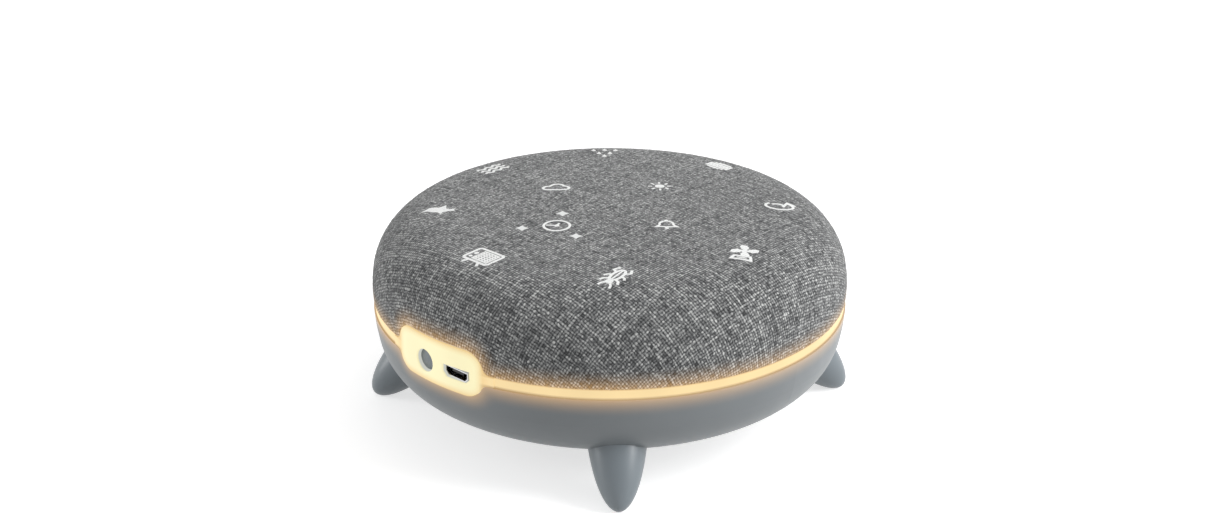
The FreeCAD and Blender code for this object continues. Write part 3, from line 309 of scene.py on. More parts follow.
cloth = {
    "pitch": 0.74,
    "fleckLength": 1.8,
    # gap: painted shade between the threads, where the weave's height is lowest
    "gap": linear(24, 25, 26),
    "dark": linear(86, 87, 88),
    "middle": linear(136, 137, 137),
    "light": linear(206, 207, 205),
    "glow": (0.40, 0.225, 0.072, 1.0),
    "glowReach": 5.2,
    "glowOnHeight": (0.9, 0.45),  # gain and shift: raised threads catch more of the light
    "patternSpan": 160.0,  # mm of flat cloth across the whole pattern square
}


def patternVector(tree):
    flat = put(tree, "ShaderNodeUVMap", uv_map="flatCloth").outputs["UV"]
    return vectorMath(tree, "SCALE", {0: flat, "Scale": cloth["patternSpan"]})


def glowMask(tree, reach):
    return useGroup(tree, glowGroup, {"Object": objectPlace(tree), "Reach": reach})["Glow"]


def makeClothMaterial():
    material, tree = newTree("heathered grey cloth")
    weave = useGroup(tree, weaveGroup, {
        "Pattern": patternVector(tree), "Pitch": cloth["pitch"], "Fleck Length": cloth["fleckLength"]
    })
    # Darker where the weave's height is low: painted shade between the threads, over the threads' own tones
    shaded = ramp(tree, weave["Light"], [
        (0.05, cloth["gap"]), (0.30, cloth["dark"]), (0.55, cloth["middle"]), (0.95, cloth["light"])
    ])
    glow = glowMask(tree, cloth["glowReach"])
    lit = times(tree, glow, timesPlus(tree, weave["Height"], *cloth["glowOnHeight"]))
    surface(tree, {
        "Base Color": shaded, "Roughness": 0.92, "Specular IOR Level": 0.2, "Sheen Weight": 0.15,
        "Sheen Roughness": 0.45, "Emission Color": blendColour(tree, lit, black, cloth["glow"]),
        "Emission Strength": 1.0,
    }, height=weave["Height"], strength=0.6, distance=0.15)
    return material


def makePrintMaterial():
    material, tree = newTree("white print on cloth")
    weave = useGroup(tree, weaveGroup, {"Pattern": patternVector(tree), "Pitch": cloth["pitch"]})
    height = weave["Height"]
    # White print with painted shade between the threads: greyer where the weave's height is low
    inkWithGapShade = ramp(tree, height, [
        (0.0, linear(176, 178, 178)), (0.4, linear(232, 233, 232)), (1.0, linear(246, 246, 245))
    ])
    surface(tree, {"Base Color": inkWithGapShade, "Roughness": 0.7}, height=height, strength=0.4, distance=0.12)
    return material


bowlLook = {
    "colour": linear(116, 121, 124),
    "pale": linear(123, 128, 131),
    "roughness": 0.40,
    "haze": 0.10,
    "specular": 0.45,
    "glow": (0.36, 0.195, 0.055, 1.0),
    "glowReach": 4.5,
}
footLook = {
    "colour": linear(108, 117, 123),
    "pale": linear(114, 123, 129),
    "roughness": 0.37,
    "haze": 0.04,
    "specular": 0.75,
}


def makeSatinMaterial(name, look):
    material, tree = newTree(name)
    grain = useGroup(tree, grainGroup, {"Object": objectPlace(tree), "Grain Size": 0.22})
    smoothest = look["roughness"] - look["haze"] / 2
    values = {
        "Base Color": blendColour(tree, grain["Tone"], look["colour"], look["pale"]),
        "Roughness": timesPlus(tree, grain["Haze"], look["haze"], smoothest),
        "Specular IOR Level": look["specular"],
    }
    if "glow" in look:
        values["Emission Color"] = blendColour(tree, glowMask(tree, look["glowReach"]), black, look["glow"])
        values["Emission Strength"] = 1.0
    surface(tree, values, height=grain["Height"], strength=0.12, distance=0.03)
    return material


ringLook = {
    "core": linear(250, 221, 164),
    # painted shade of the cloth's hem on the band's upper edge
    "upperEdgeHemShade": linear(224, 190, 134),
    "lowerEdge": linear(178, 148, 108),
    "panelCore": linear(252, 243, 196),
    "panelEdge": linear(240, 208, 146),
    "inside": linear(206, 208, 200),
    "ownLight": 0.84,
    "lamps": 24.0,  # lights behind the band, all round
    "lampRipple": 0.02,
    "panelFadeFrom": 0.92,  # share of the panel's half width where its colour gives way to the band's
    "panelFadeGain": 5.0,
    "depthGain": 2.5,  # per mm behind the panel's face, inside its holes
}


def makeLitMaterial():
    material, tree = newTree("lit translucent plastic")
    look = ringLook
    x, y, rise, sideways, upwards = panelPlaces(tree, objectPlace(tree))
    inBand = timesPlus(tree, rise, 1 / body["bandHeight"], 0.5)
    bandColour = ramp(tree, inBand, [
        (0.0, look["lowerEdge"]), (0.26, look["core"]), (0.88, look["core"]), (1.0, look["upperEdgeHemShade"])
    ])
    panelSide = calc(tree, "DIVIDE", sideways, body["panelHalfWidth"])
    panelUp = calc(tree, "DIVIDE", upwards, body["panelHalfHeight"])
    powers = [calc(tree, "POWER", share, power) for share, power in ((panelUp, 4.0), (panelSide, 8.0))]
    edge = calc(tree, "ADD", *powers, clamp=True)
    panelColour = ramp(tree, edge, [
        (0.0, look["panelCore"]), (0.25, look["panelCore"]), (1.0, look["panelEdge"])
    ])
    gain = look["panelFadeGain"]
    offPanel = timesPlus(tree, panelSide, gain, -gain * look["panelFadeFrom"], clamp=True)
    onPanel = times(tree, calc(tree, "SUBTRACT", 1.0, offPanel), calc(tree, "LESS_THAN", y, 0.0))
    ripple = calc(tree, "COSINE", times(tree, calc(tree, "ARCTAN2", x, y), look["lamps"]))
    ripple = timesPlus(tree, ripple, look["lampRipple"], 1 - look["lampRipple"])
    grey = put(tree, "ShaderNodeCombineColor", {0: ripple, 1: ripple, 2: ripple}).outputs[0]
    colour = blendColour(tree, onPanel, bandColour, panelColour)
    colour = blendColour(tree, 1.0, colour, grey, "MULTIPLY")
    radius = calc(tree, "SQRT", timesPlus(tree, x, x, times(tree, y, y)))
    behind = calc(tree, "SUBTRACT", body["panelFace"], radius)
    deep = times(tree, times(tree, behind, look["depthGain"], clamp=True), onPanel)
    colour = blendColour(tree, deep, colour, look["inside"])
    surface(tree, {
        "Base Color": blendColour(tree, 0.8, colour, black), "Roughness": 0.42,
        "Emission Color": colour, "Emission Strength": look["ownLight"],
    })
    return material


def makePlainMaterial(name, colour, other, rough, metal, grainSize, bump):
    material, tree = newTree(name)
    grain = useGroup(tree, grainGroup, {"Object": objectPlace(tree), "Grain Size": grainSize})
    haze = grain["Haze"]
    surface(tree, {
        "Base Color": blendColour(tree, haze, colour, other),
        "Roughness": timesPlus(tree, haze, 0.16, rough - 0.08),
        "Metallic": metal,
    }, height=grain["Height"], strength=bump, distance=0.03)
    return material


clothMaterial = makeClothMaterial()
printMaterial = makePrintMaterial()
bowlMaterial = makeSatinMaterial("satin blue-grey bowl", bowlLook)
footMaterial = makeSatinMaterial("satin blue-grey plastic", footLook)
litMaterial = makeLitMaterial()
print("main materials built")

# Finish of the CAD nodes that stay: two colours, roughness, metal, grain size, bump, then the nodes
finishes = {
    "moulded white plastic": ((208, 207, 200), (222, 221, 215), 0.55, 0.0, 0.3, 0.1, [
        "top_shell", "side_leds", "timer_leds", "ribbon_socket_upper", "ribbon_socket_lower",
        "speaker_plug", "speaker_socket"
    ]),
    "black plastic": ((22, 22, 23), (34, 34, 36), 0.45, 0.0, 0.2, 0.15, [
        "switch_plunger", "switch_body", "usb_tongue", "controller_chip", "memory_chip", "amplifier_chip",
        "touch_chip"
    ]),
    "nickel plate": ((186, 186, 190), (214, 214, 216), 0.24, 1.0, 0.4, 0.05, [
        "switch_cover", "switch_dome", "usb_shell", "solder_lugs"
    ]),
    "zinc plated steel": ((150, 152, 156), (186, 186, 186), 0.34, 1.0, 0.25, 0.1, [
        "speaker_basket", "speaker_top_plate", "speaker_yoke", "body_screws", "board_screws",
        "speaker_screws", "foot_screws"
    ]),
    "gold plate": ((212, 170, 92), (232, 196, 120), 0.25, 1.0, 0.3, 0.05, ["usb_contacts"]),
    "enamelled copper": ((150, 74, 40), (190, 104, 60), 0.3, 0.7, 0.2, 0.1, [
        "touch_electrodes", "coil_winding"
    ]),
    "green solder mask": ((16, 74, 44), (24, 92, 54), 0.35, 0.0, 0.5, 0.15, [
        "main_board", "touch_board", "speaker_terminal"
    ]),
    "drawn aluminium": ((176, 178, 182), (204, 204, 206), 0.3, 1.0, 0.3, 0.05, ["capacitors"]),
    "sintered ferrite": ((44, 44, 47), (62, 61, 62), 0.6, 0.1, 0.2, 0.3, [
        "power_inductor", "speaker_magnet"
    ]),
    "pressed paper": ((34, 33, 33), (52, 50, 48), 0.85, 0.0, 0.35, 0.5, [
        "speaker_cone", "speaker_dust_cap"
    ]),
    "soft black rubber": ((24, 24, 25), (38, 38, 38), 0.6, 0.0, 0.3, 0.2, ["speaker_surround"]),
    "dark foam": ((46, 46, 48), (70, 70, 72), 0.9, 0.0, 0.3, 0.9, ["speaker_gasket"]),
    "varnished cloth": ((164, 112, 52), (196, 144, 76), 0.5, 0.0, 0.4, 0.7, ["speaker_spider"]),
    "red sleeve": ((166, 24, 22), (190, 40, 34), 0.4, 0.0, 0.3, 0.1, ["speaker_lead_red"]),
    "black sleeve": ((20, 20, 21), (36, 36, 37), 0.4, 0.0, 0.3, 0.1, ["speaker_lead_black"]),
    "ribbon film": ((206, 206, 202), (226, 226, 222), 0.3, 0.0, 0.4, 0.1, ["touch_ribbon", "coil_former"]),
}


def dress(names, material):
    for name in names:
        mesh = nodes[name].data
        mesh.materials.clear()
        mesh.materials.append(material)


for finish, (first, second, *settings, names) in finishes.items():
    dress(names, makePlainMaterial(finish, linear(*first), linear(*second), *settings))
dress(["bottom_shell"], bowlMaterial)
dress(["foot_front_right", "foot_rear_right", "foot_rear_left", "foot_front_left"], footMaterial)
dress(["power_button"], footMaterial)
dress(["light_ring"], litMaterial)
print("CAD nodes dressed")


# Helpers that make a linked object

def newPiece(name, data, material=None):
    piece = bpy.data.objects.new(name, data)
    bpy.context.scene.collection.objects.link(piece)
    if material:
        data.materials.append(material)
    return piece


def pieceFrom(mesh, name, material):  # from a bmesh, which is then freed
    data = bpy.data.meshes.new(name)
    mesh.to_mesh(data)
    mesh.free()
    return newPiece(name, data, material)


# The dome's outside, as arcs: radius and height from the length along the section

section = {
    "count": 400,  # points over a length of span
    "span": 80.0,
    "leastPerArc": 8,
    "lowest": 18.0,  # degrees below level where the wall's arc is left
    "wallFrom": 50.0,  # a length below the upper corner's middle
    "cornerTo": 62.0,  # a length within the upper corner
    "halvings": 40,
}


def domeSection():
    wallCentre = (body["radius"] - body["wallArc"], body["ringHeight"] + body["domeRise"])
    turn = radians(body["wallTurn"])
    step = body["wallArc"] - body["cornerArc"]
    cornerCentre = (wallCentre[0] + step * cos(turn), wallCentre[1] + step * sin(turn))
    steep = radians(body["cornerTurn"])
    crownRadius = cornerCentre[0] / cos(steep) + body["cornerArc"]
    crownHeight = cornerCentre[1] - cornerCentre[0] * tan(steep)
    arcs = [
        ((0.0, crownHeight), crownRadius, pi / 2, steep),
        (cornerCentre, body["cornerArc"], steep, turn),
        (wallCentre, body["wallArc"], turn, -radians(section["lowest"])),
    ]
    points = []
    for centre, radius, start, end in arcs:
        pieces = ceil(section["count"] * radius * abs(start - end) / section["span"])
        pieces = max(section["leastPerArc"], pieces)
        for k in range(pieces):
            a = start + (end - start) * k / pieces
            points.append((max(0.0, centre[0] + radius * cos(a)), centre[1] + radius * sin(a)))
    lengths = [0.0]
    for (r0, z0), (r1, z1) in zip(points, points[1:]):
        lengths.append(lengths[-1] + hypot(r1 - r0, z1 - z0))
    return points, lengths


sectionPoints, sectionLengths = domeSection()


def onSection(length):  # radius, height and outward normal at a length from the crown, in mm
    low, high = 0, len(sectionLengths) - 2
    while low < high:
        middle = (low + high + 1) // 2
        if sectionLengths[middle] <= length:
            low = middle
        else:
            high = middle - 1
    (r0, z0), (r1, z1) = sectionPoints[low], sectionPoints[low + 1]
    span = sectionLengths[low + 1] - sectionLengths[low]
    share = (length - sectionLengths[low]) / span
    return r0 + share * (r1 - r0), z0 + share * (z1 - z0), (-(z1 - z0) / span, (r1 - r0) / span)


def domePoint(length, turn, out=0.0):  # in metres, moved out along the dome's normal by out in mm
    radius, height, (outR, outZ) = onSection(length)
    radius += out * outR
    return placeAt(turn, radius, height + out * outZ)


def lengthWhere(low, high, tooShort):
    for _ in range(section["halvings"]):
        middle = (low + high) / 2
        if tooShort(*onSection(middle)[:2]):
            low = middle
        else:
            high = middle
    return (low + high) / 2


def lengthAtHeight(height):  # on the wall, below the corner
    return lengthWhere(section["wallFrom"], sectionLengths[-1], lambda r, z: z > height)


def lengthAtRadius(radius):  # on the crown and the upper corner
    return lengthWhere(0.0, section["cornerTo"], lambda r, z: r < radius)


def spreadFlat(mesh, layer, lengthOf):  # the flat cloth's pattern, from each vertex's length and turn
    for face in mesh.faces:
        for loop in face.loops:
            length, turn = lengthOf[loop.vert]
            across, away = length * sin(turn), length * cos(turn)
            loop[layer].uv = (0.5 + across / cloth["patternSpan"], 0.5 - away / cloth["patternSpan"])


# Cloth cover

cover = {
    "panelGap": 0.12,
    "panelCosine": 0.8,  # the panel lies where the azimuth's cosine is larger
    "edgeRounds": 6,
    "hemRound": 0.45,
    "hemReach": 3.0,  # along the cloth, where the rounding is looked for
    "hemSteps": (0.75, 1.1, 1.5),
    "thickness": 0.5,
    "stretch": 2.0,  # what the flat cloth's radius lacks, as it is pulled on
    "cutHalf": 19.0,  # degrees each side of the front's middle with closer columns
    "cutReach": 26,  # neighbouring columns searched for the nearest cut edge
    "columnStep": 5.0,  # longer steps between columns are not part of the cut edge
    "plainColumns": 300,
    "cutColumns": 240,
    "crownRows": 46,
    "fineRows": [0.0, 0.04, 0.09, 0.15, 0.22, 0.30, 0.39, 0.50, 0.64, 0.82, 1.05, 1.35, 1.7, 2.2, 2.9, 3.8],
}


def panelTop(x):  # rise of the cloth's cut edge above the band's middle, at x across the panel
    corner = body["panelCorner"] + cover["panelGap"]
    flare = body["panelFlare"] - cover["panelGap"]
    cornerX = body["panelHalfWidth"] + cover["panelGap"] - corner
    cornerRise = body["panelRise"] + body["panelHalfHeight"] + cover["panelGap"] - corner
    flareRise = body["bandHeight"] / 2 + flare
    flareX = cornerX + sqrt((corner + flare) ** 2 - (flareRise - cornerRise) ** 2)
    meetX = cornerX + corner / (corner + flare) * (flareX - cornerX)
    x = abs(x)
    if x <= cornerX:
        return cornerRise + corner
    if x <= meetX:
        return cornerRise + sqrt(corner ** 2 - (x - cornerX) ** 2)
    if x < flareX:
        return flareRise - sqrt(flare ** 2 - (x - flareX) ** 2)
    return body["bandHeight"] / 2


def coverEdge(azimuth):  # length along the section where the cloth ends
    turn = radians(azimuth)
    length = lengthAtHeight(body["ringHeight"] + body["bandHeight"] / 2)
    if cos(turn) > cover["panelCosine"]:
        for _ in range(cover["edgeRounds"]):
            radius = onSection(length)[0]
            length = lengthAtHeight(body["ringHeight"] + panelTop(radius * sin(turn) - body["panelMiddle"]))
    return length


def makeCover():
    half, cut, plain = cover["cutHalf"], cover["cutColumns"], cover["plainColumns"]
    hem, fine = cover["hemRound"], cover["fineRows"]
    azimuths = [-half + 2 * half * k / cut for k in range(cut)]
    azimuths += [half + (360 - 2 * half) * k / plain for k in range(plain)]
    edges = [coverEdge(a) for a in azimuths]
    outline = [Vector((radians(a) * body["radius"], -length)) for a, length in zip(azimuths, edges)]

    def fromEdge(column, length):  # shortest way to the cut edge, over neighbouring columns
        here = Vector((outline[column].x, -length))
        reach = cover["cutReach"] if abs(azimuths[column]) <= half else 1
        ways = []
        for k in range(column - reach, column + reach):
            a, b = outline[k % len(outline)], outline[(k + 1) % len(outline)]
            if (a - b).length <= cover["columnStep"]:
                t = max(0.0, min(1.0, (here - a).dot(b - a) / max(1e-9, (b - a).length_squared)))
                ways.append((here - a - (b - a) * t).length)
        return min(ways, default=cover["hemReach"])

    mesh = bmesh.new()
    layer = mesh.loops.layers.uv.new("flatCloth")
    top = mesh.verts.new(domePoint(0.0, 0.0))
    lengthOf = {top: (0.0, 0.0)}
    columns = []
    for c, azimuth in enumerate(azimuths):
        turn = radians(azimuth)
        start = edges[c] - fine[-1]
        lengths = [start * (k + 1) / cover["crownRows"] for k in range(cover["crownRows"])]
        lengths += [edges[c] - s for s in reversed(fine[:-1])]
        places = []
        for length in lengths:
            depth = 0.0
            if edges[c] - length < cover["hemReach"]:
                bend = hem - min(hem, fromEdge(c, length))
                depth = hem - sqrt(hem ** 2 - bend ** 2)
            places.append((domePoint(length, turn, -depth), length))
        places += [(domePoint(edges[c], turn, -depth), edges[c] + depth) for depth in cover["hemSteps"]]
        columns.append([])
        for place, length in places:
            columns[-1].append(mesh.verts.new(place))
            lengthOf[columns[-1][-1]] = (length, turn)
    for rows, following in zip(columns, columns[1:] + columns[:1]):
        mesh.faces.new((top, rows[0], following[0]))
        for k in range(len(rows) - 1):
            mesh.faces.new((rows[k], rows[k + 1], following[k + 1], following[k]))
    for face in mesh.faces:
        face.smooth = True
    spreadFlat(mesh, layer, lengthOf)
    mesh.normal_update()
    if sum(face.normal.z for face in mesh.faces) < 0:
        bmesh.ops.reverse_faces(mesh, faces=mesh.faces)
    piece = pieceFrom(mesh, "cloth_cover", clothMaterial)
    wall = piece.modifiers.new("wall", "SOLIDIFY")
    wall.thickness = cover["thickness"] * mm
    wall.offset = -1.0
    return piece


coverPiece = makeCover()
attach(coverPiece, "housing")
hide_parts("fabric_cover")
print("cloth cover made,", len(coverPiece.data.polygons), "faces")

# Symbols printed on the cloth. Each is drawn flat in mm, with up pointing away from the port panel.

prints = {
    "stroke": 0.72,
    "lift": 0.06,  # the print's face above the cloth
    "sink": 0.08,
    "step": 0.7,
    "outerRadius": 43.0,
    "innerRadius": 18.9,
}


def oval(centre, across, upwards=None, start=0.0, end=360.0, count=28):
    upwards = across if upwards is None else upwards
    last = count if end - start >= 360.0 else count + 1
    turns = [radians(start + (end - start) * k / count) for k in range(last)]
    return [(centre[0] + across * cos(t), centre[1] + upwards * sin(t)) for t in turns]


def turned(points, angle, shift=(0.0, 0.0)):
    c, s = cos(radians(angle)), sin(radians(angle))
    return [(x * c - y * s + shift[0], x * s + y * c + shift[1]) for x, y in points]


def finer(points, closed):  # the same line with no step longer than the print's own step
    ends = points[1:] + points[:1] if closed else points[1:]
    result = []
    for (x0, y0), (x1, y1) in zip(points, ends):
        pieces = max(1, ceil(hypot(x1 - x0, y1 - y0) / prints["step"]))
        result += [(x0 + (x1 - x0) * k / pieces, y0 + (y1 - y0) * k / pieces) for k in range(pieces)]
    return result if closed else result + [points[-1]]


class Drawing:  # flat faces that together make one symbol
    def __init__(self):
        self.points = []
        self.faces = []

    def fill(self, points):
        points = finer(points, True)
        area = sum(a[0] * b[1] - b[0] * a[1] for a, b in zip(points, points[1:] + points[:1]))
        first = len(self.points)
        self.points += points if area > 0 else points[::-1]
        self.faces.append(list(range(first, len(self.points))))

    def triangle(self, a, b, c):  # turned to run anticlockwise, and left out where a sharp corner flattens it
        area = (b - a).cross(c - a)
        if abs(area) > 1e-5:
            first = len(self.points)
            self.points += [tuple(p) for p in ((a, b, c) if area > 0 else (a, c, b))]
            self.faces.append([first, first + 1, first + 2])

    def stroke(self, points, closed=False, width=None):
        half = (width or prints["stroke"]) / 2
        line = [Vector(p) for p in finer(points, closed)]
        count = len(line)
        sides = []
        for k in range(count):
            ways = []
            if k or closed:
                ways.append((line[k] - line[k - 1]).normalized())
            if k < count - 1 or closed:
                ways.append((line[(k + 1) % count] - line[k]).normalized())
            along = sum(ways, Vector((0.0, 0.0))).normalized()
            across = Vector((-along.y, along.x)) * half / max(0.5, along.dot(ways[0]))
            sides.append((line[k] - across, line[k] + across))
        for k in range(count if closed else count - 1):
            (rightA, leftA), (rightB, leftB) = sides[k], sides[(k + 1) % count]
            self.triangle(rightA, rightB, leftB)
            self.triangle(rightA, leftB, leftA)


def drawTelevision(pen):
    pen.stroke([
        (-4.0, -2.6), (-3.5, -3.1), (3.5, -3.1), (4.0, -2.6), (4.0, 2.4), (3.5, 2.9), (-3.5, 2.9), (-4.0, 2.4)
    ], True)
    pen.stroke([(-1.6, -2.2), (3.0, -2.2), (3.0, 2.0), (-1.6, 2.0)], True, 0.55)
    for k in range(4):
        pen.stroke([(-0.8 + 1.0 * k, -2.2), (-0.8 + 1.0 * k, 2.0)], width=0.45)
        pen.stroke([(-1.6, -1.4 + 0.85 * k), (3.0, -1.4 + 0.85 * k)], width=0.45)
    pen.fill(oval((-2.75, 0.2), 0.6, count=12))
    pen.fill(oval((-2.75, -1.7), 0.5, count=12))
    pen.stroke([(-1.8, -3.2), (-2.7, -4.6)])
    pen.stroke([(1.4, -3.2), (2.2, -4.6)])


def drawCricket(pen):
    def place(points):
        return turned(points, 56.0)
    pen.stroke(place(oval((0.5, 0.0), 2.9, 1.25)), True)
    pen.fill(place(oval((-3.0, 0.0), 1.05, 0.95, count=16)))
    pen.stroke(place([(-1.9, 0.1), (3.1, 0.1)]), width=0.45)
    limbs = [
        (0.6, [(-3.5, 0.5), (-4.6, 1.3), (-5.5, 1.5)]), (0.65, [(-1.7, 0.9), (-2.4, 2.0), (-3.4, 2.4)]),
        (0.65, [(0.3, 1.1), (-0.1, 2.2), (-1.0, 2.8)]), (0.65, [(1.6, 1.0), (2.7, 2.3), (4.4, 1.5)]),
    ]
    for side in (1.0, -1.0):
        for width, points in limbs:
            pen.stroke(place([(x, y * side) for x, y in points]), width=width)


def drawFan(pen):
    blade = [(0.4, -0.45), (1.6, -1.35), (3.0, -1.05), (3.5, 0.1), (2.7, 0.75), (1.2, 0.55)]
    for k in range(4):
        pen.fill(turned(blade, 20 + 90 * k, (0.0, 1.1)))
    pen.fill(oval((0.0, 1.1), 0.85, count=16))
    pen.stroke([(-2.4, -3.7), (-1.9, -1.9), (1.9, -1.9), (2.4, -3.7)], True, 0.7)
    pen.stroke([(-1.2, -2.8), (1.2, -2.8)], width=0.5)


def drawEddy(pen):
    pen.stroke(oval((-0.3, 0.2), 2.3, 3.5, 55.0, 330.0, 26))
    pen.stroke(oval((-0.1, 0.7), 1.1, 1.6, 240.0, 430.0, 16))
    pen.stroke([(1.3, -3.6), (2.5, -1.3), (0.4, -0.9)])


def drawGrille(pen):
    half = 0.42
    for k in range(7):
        tall = 2.5 - 0.11 * (k - 3) ** 2
        left = -3.3 + 1.1 * k - half
        right = -3.3 + 1.1 * k + half
        pen.fill([(left, -tall), (right, -tall), (right, tall), (left, tall)])
    pen.stroke([(-3.7, 0.0), (3.7, 0.0)], width=0.6)


def drawRain(pen):
    for x, y in ((-3.0, 1.7), (0.0, 2.1), (3.0, 1.7), (-1.5, -1.0), (1.5, -1.0), (0.0, -3.6)):
        def part(start, end, count):
            return oval((x, y - 0.3), 0.62, 0.62, start, end, count)
        right, left = part(-20.0, 50.0, 4)[1:], part(130.0, 200.0, 4)[:-1]
        pen.fill(part(200.0, 340.0, 8) + right + [(x, y + 1.35)] + left)


def drawWaves(pen):
    for row in (-1.5, 0.2, 1.9):
        pen.stroke([(-4.0 + 0.4 * k, row + 0.45 * sin(k * pi / 3.3)) for k in range(21)])


def drawBird(pen):
    pen.fill([
        (-4.3, -1.1), (-3.2, 0.0), (-2.5, 1.3), (-1.3, 1.8), (0.0, 1.6), (1.5, 3.4), (1.8, 1.2), (2.7, 0.5),
        (4.3, 1.0), (3.9, 0.1), (4.4, -0.6), (2.7, -0.7), (1.4, -1.4), (1.1, -2.7), (0.2, -1.6), (-1.2, -1.4),
        (-2.7, -0.8)
    ])


def drawClock(pen):
    pen.stroke(oval((0.0, 0.0), 3.2, count=36), True, 0.65)
    pen.stroke([(0.0, 0.0), (-2.2, -1.5)], width=0.55)
    pen.stroke([(0.0, 0.0), (-0.6, 1.5)], width=0.55)
    pen.fill(oval((0.0, 0.0), 0.65, count=14))


def drawCloud(pen):
    right = oval((2.0, -0.4), 1.3, 1.3, -75.0, 60.0, 8)
    crown = oval((0.2, 0.9), 1.7, 1.6, 5.0, 165.0, 12)
    left = oval((-2.1, -0.4), 1.3, 1.3, 80.0, 260.0, 9)
    pen.stroke([(-2.1, -1.7), (2.0, -1.7)] + right + crown + left, True, 0.72)


def drawSun(pen):
    pen.fill(oval((0.0, 0.0), 1.25, count=18))
    for k in range(8):
        pen.stroke(turned([(1.9, 0.0), (3.0, 0.0)], 45.0 * k), width=0.55)


def drawBell(pen):
    crown = oval((0.0, 0.1), 1.7, 1.9, -10.0, 190.0, 14)
    pen.stroke([(-2.6, -1.6), (2.6, -1.6), (1.9, -0.8)] + crown + [(-1.9, -0.8)], True, 0.6)
    pen.fill(oval((0.0, -2.5), 0.55, count=12))
    pen.fill(oval((0.0, 2.4), 0.45, count=12))


# Each symbol with its turn in degrees, on two rings of even steps from the port panel's side
outerSymbols = [
    (drawTelevision, 0), (drawCricket, 45), (drawFan, 28), (drawEddy, 117), (drawGrille, 0), (drawRain, 43),
    (drawWaves, -90), (drawBird, 38)
]
innerSymbols = [(drawClock, 0), (drawBell, 43), (drawSun, 0), (drawCloud, 43)]


def makePrint(draw, angle, azimuth, radius):
    pen = Drawing()
    draw(pen)
    wide = max(max(abs(x), abs(y)) for x, y in pen.points)
    count = int(wide / prints["step"]) + 1
    grid = [(prints["step"] * (i + 0.5 * (j % 2)), prints["step"] * j)
            for i in range(-count, count + 1) for j in range(-count, count + 1)]
    united = delaunay_2d_cdt([Vector(p) for p in pen.points + grid], [], pen.faces, 1, 1e-4)
    faces = [face for face, inside in zip(united[2], united[5]) if inside]
    turn = radians(azimuth)
    spots = turned([tuple(p) for p in united[0]], angle, (radius * sin(turn), -radius * cos(turn)))
    mesh = bmesh.new()
    layer = mesh.loops.layers.uv.new("flatCloth")
    sides = ({}, {})
    lengthOf = {}

    def corner(k, side):  # the print's upper or lower side at one flat point
        if k not in sides[side]:
            x, y = spots[k]
            length, way = lengthAtRadius(hypot(x, y)), atan2(x, -y)
            vertex = mesh.verts.new(domePoint(length, way, prints["lift"] if side == 0 else -prints["sink"]))
            sides[side][k] = vertex
            lengthOf[vertex] = (length, way)
        return sides[side][k]

    edges = {}
    for face in faces:
        for a, b in zip(face, face[1:] + face[:1]):
            edges[(a, b)] = True
        mesh.faces.new([corner(k, 0) for k in face])
        mesh.faces.new([corner(k, 1) for k in reversed(face)])
    for a, b in edges:
        if (b, a) not in edges:
            mesh.faces.new((corner(b, 0), corner(a, 0), corner(a, 1), corner(b, 1)))
    spreadFlat(mesh, layer, lengthOf)
    bmesh.ops.recalc_face_normals(mesh, faces=mesh.faces)
    piece = pieceFrom(mesh, "print_" + draw.__name__[4:].lower(), printMaterial)
    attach(piece, "housing")


for k, (draw, angle) in enumerate(outerSymbols):
    makePrint(draw, angle, 45.0 * k, prints["outerRadius"])
for k, (draw, angle) in enumerate(innerSymbols):
    makePrint(draw, angle, 90.0 * k, prints["innerRadius"])
print("symbols printed:", len(outerSymbols) + len(innerSymbols))


# Geometry Nodes pieces

def newNodes(name, inputs):
    return newGroup(name, [("Geometry", "Geometry"), *inputs], ["Geometry"], "Geometry", "Geometry")


def runNodes(name, source, tree, values):  # the tree's result on a source mesh, as a plain mesh object
    carrier = newPiece(name + "_source", source)
    modifier = carrier.modifiers.new("nodes", "NODES")
    modifier.node_group = tree
    for item in tree.interface.items_tree:
        if item.item_type == "SOCKET" and item.in_out == "INPUT" and item.name in values:
            modifier[item.identifier] = values[item.name]
    bpy.context.view_layer.update()
    data = bpy.data.meshes.new_from_object(carrier.evaluated_get(bpy.context.evaluated_depsgraph_get()))
    bpy.data.objects.remove(carrier)
    data.name = name
    piece = newPiece(name, data)
    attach(piece, "housing")
    return piece


def endNodes(tree, copies, inside, outside):  # instances made real and given the group's material
    real = put(tree, "GeometryNodeRealizeInstances", {"Geometry": copies.outputs[0]})
    dressing = {"Geometry": real.outputs[0], "Material": inside["Material"]}
    dressed = put(tree, "GeometryNodeSetMaterial", dressing)
    tree.links.new(dressed.outputs[0], outside["Geometry"])


timerMarks = {
    "places": [(8.10, -20.58), (-5.16, -25.67), (-4.47, -12.42)],
    "innerRadius": 0.95,
    "outerRadius": 1.65,
    "thickness": 0.2,
    "turn": 43.0,
}


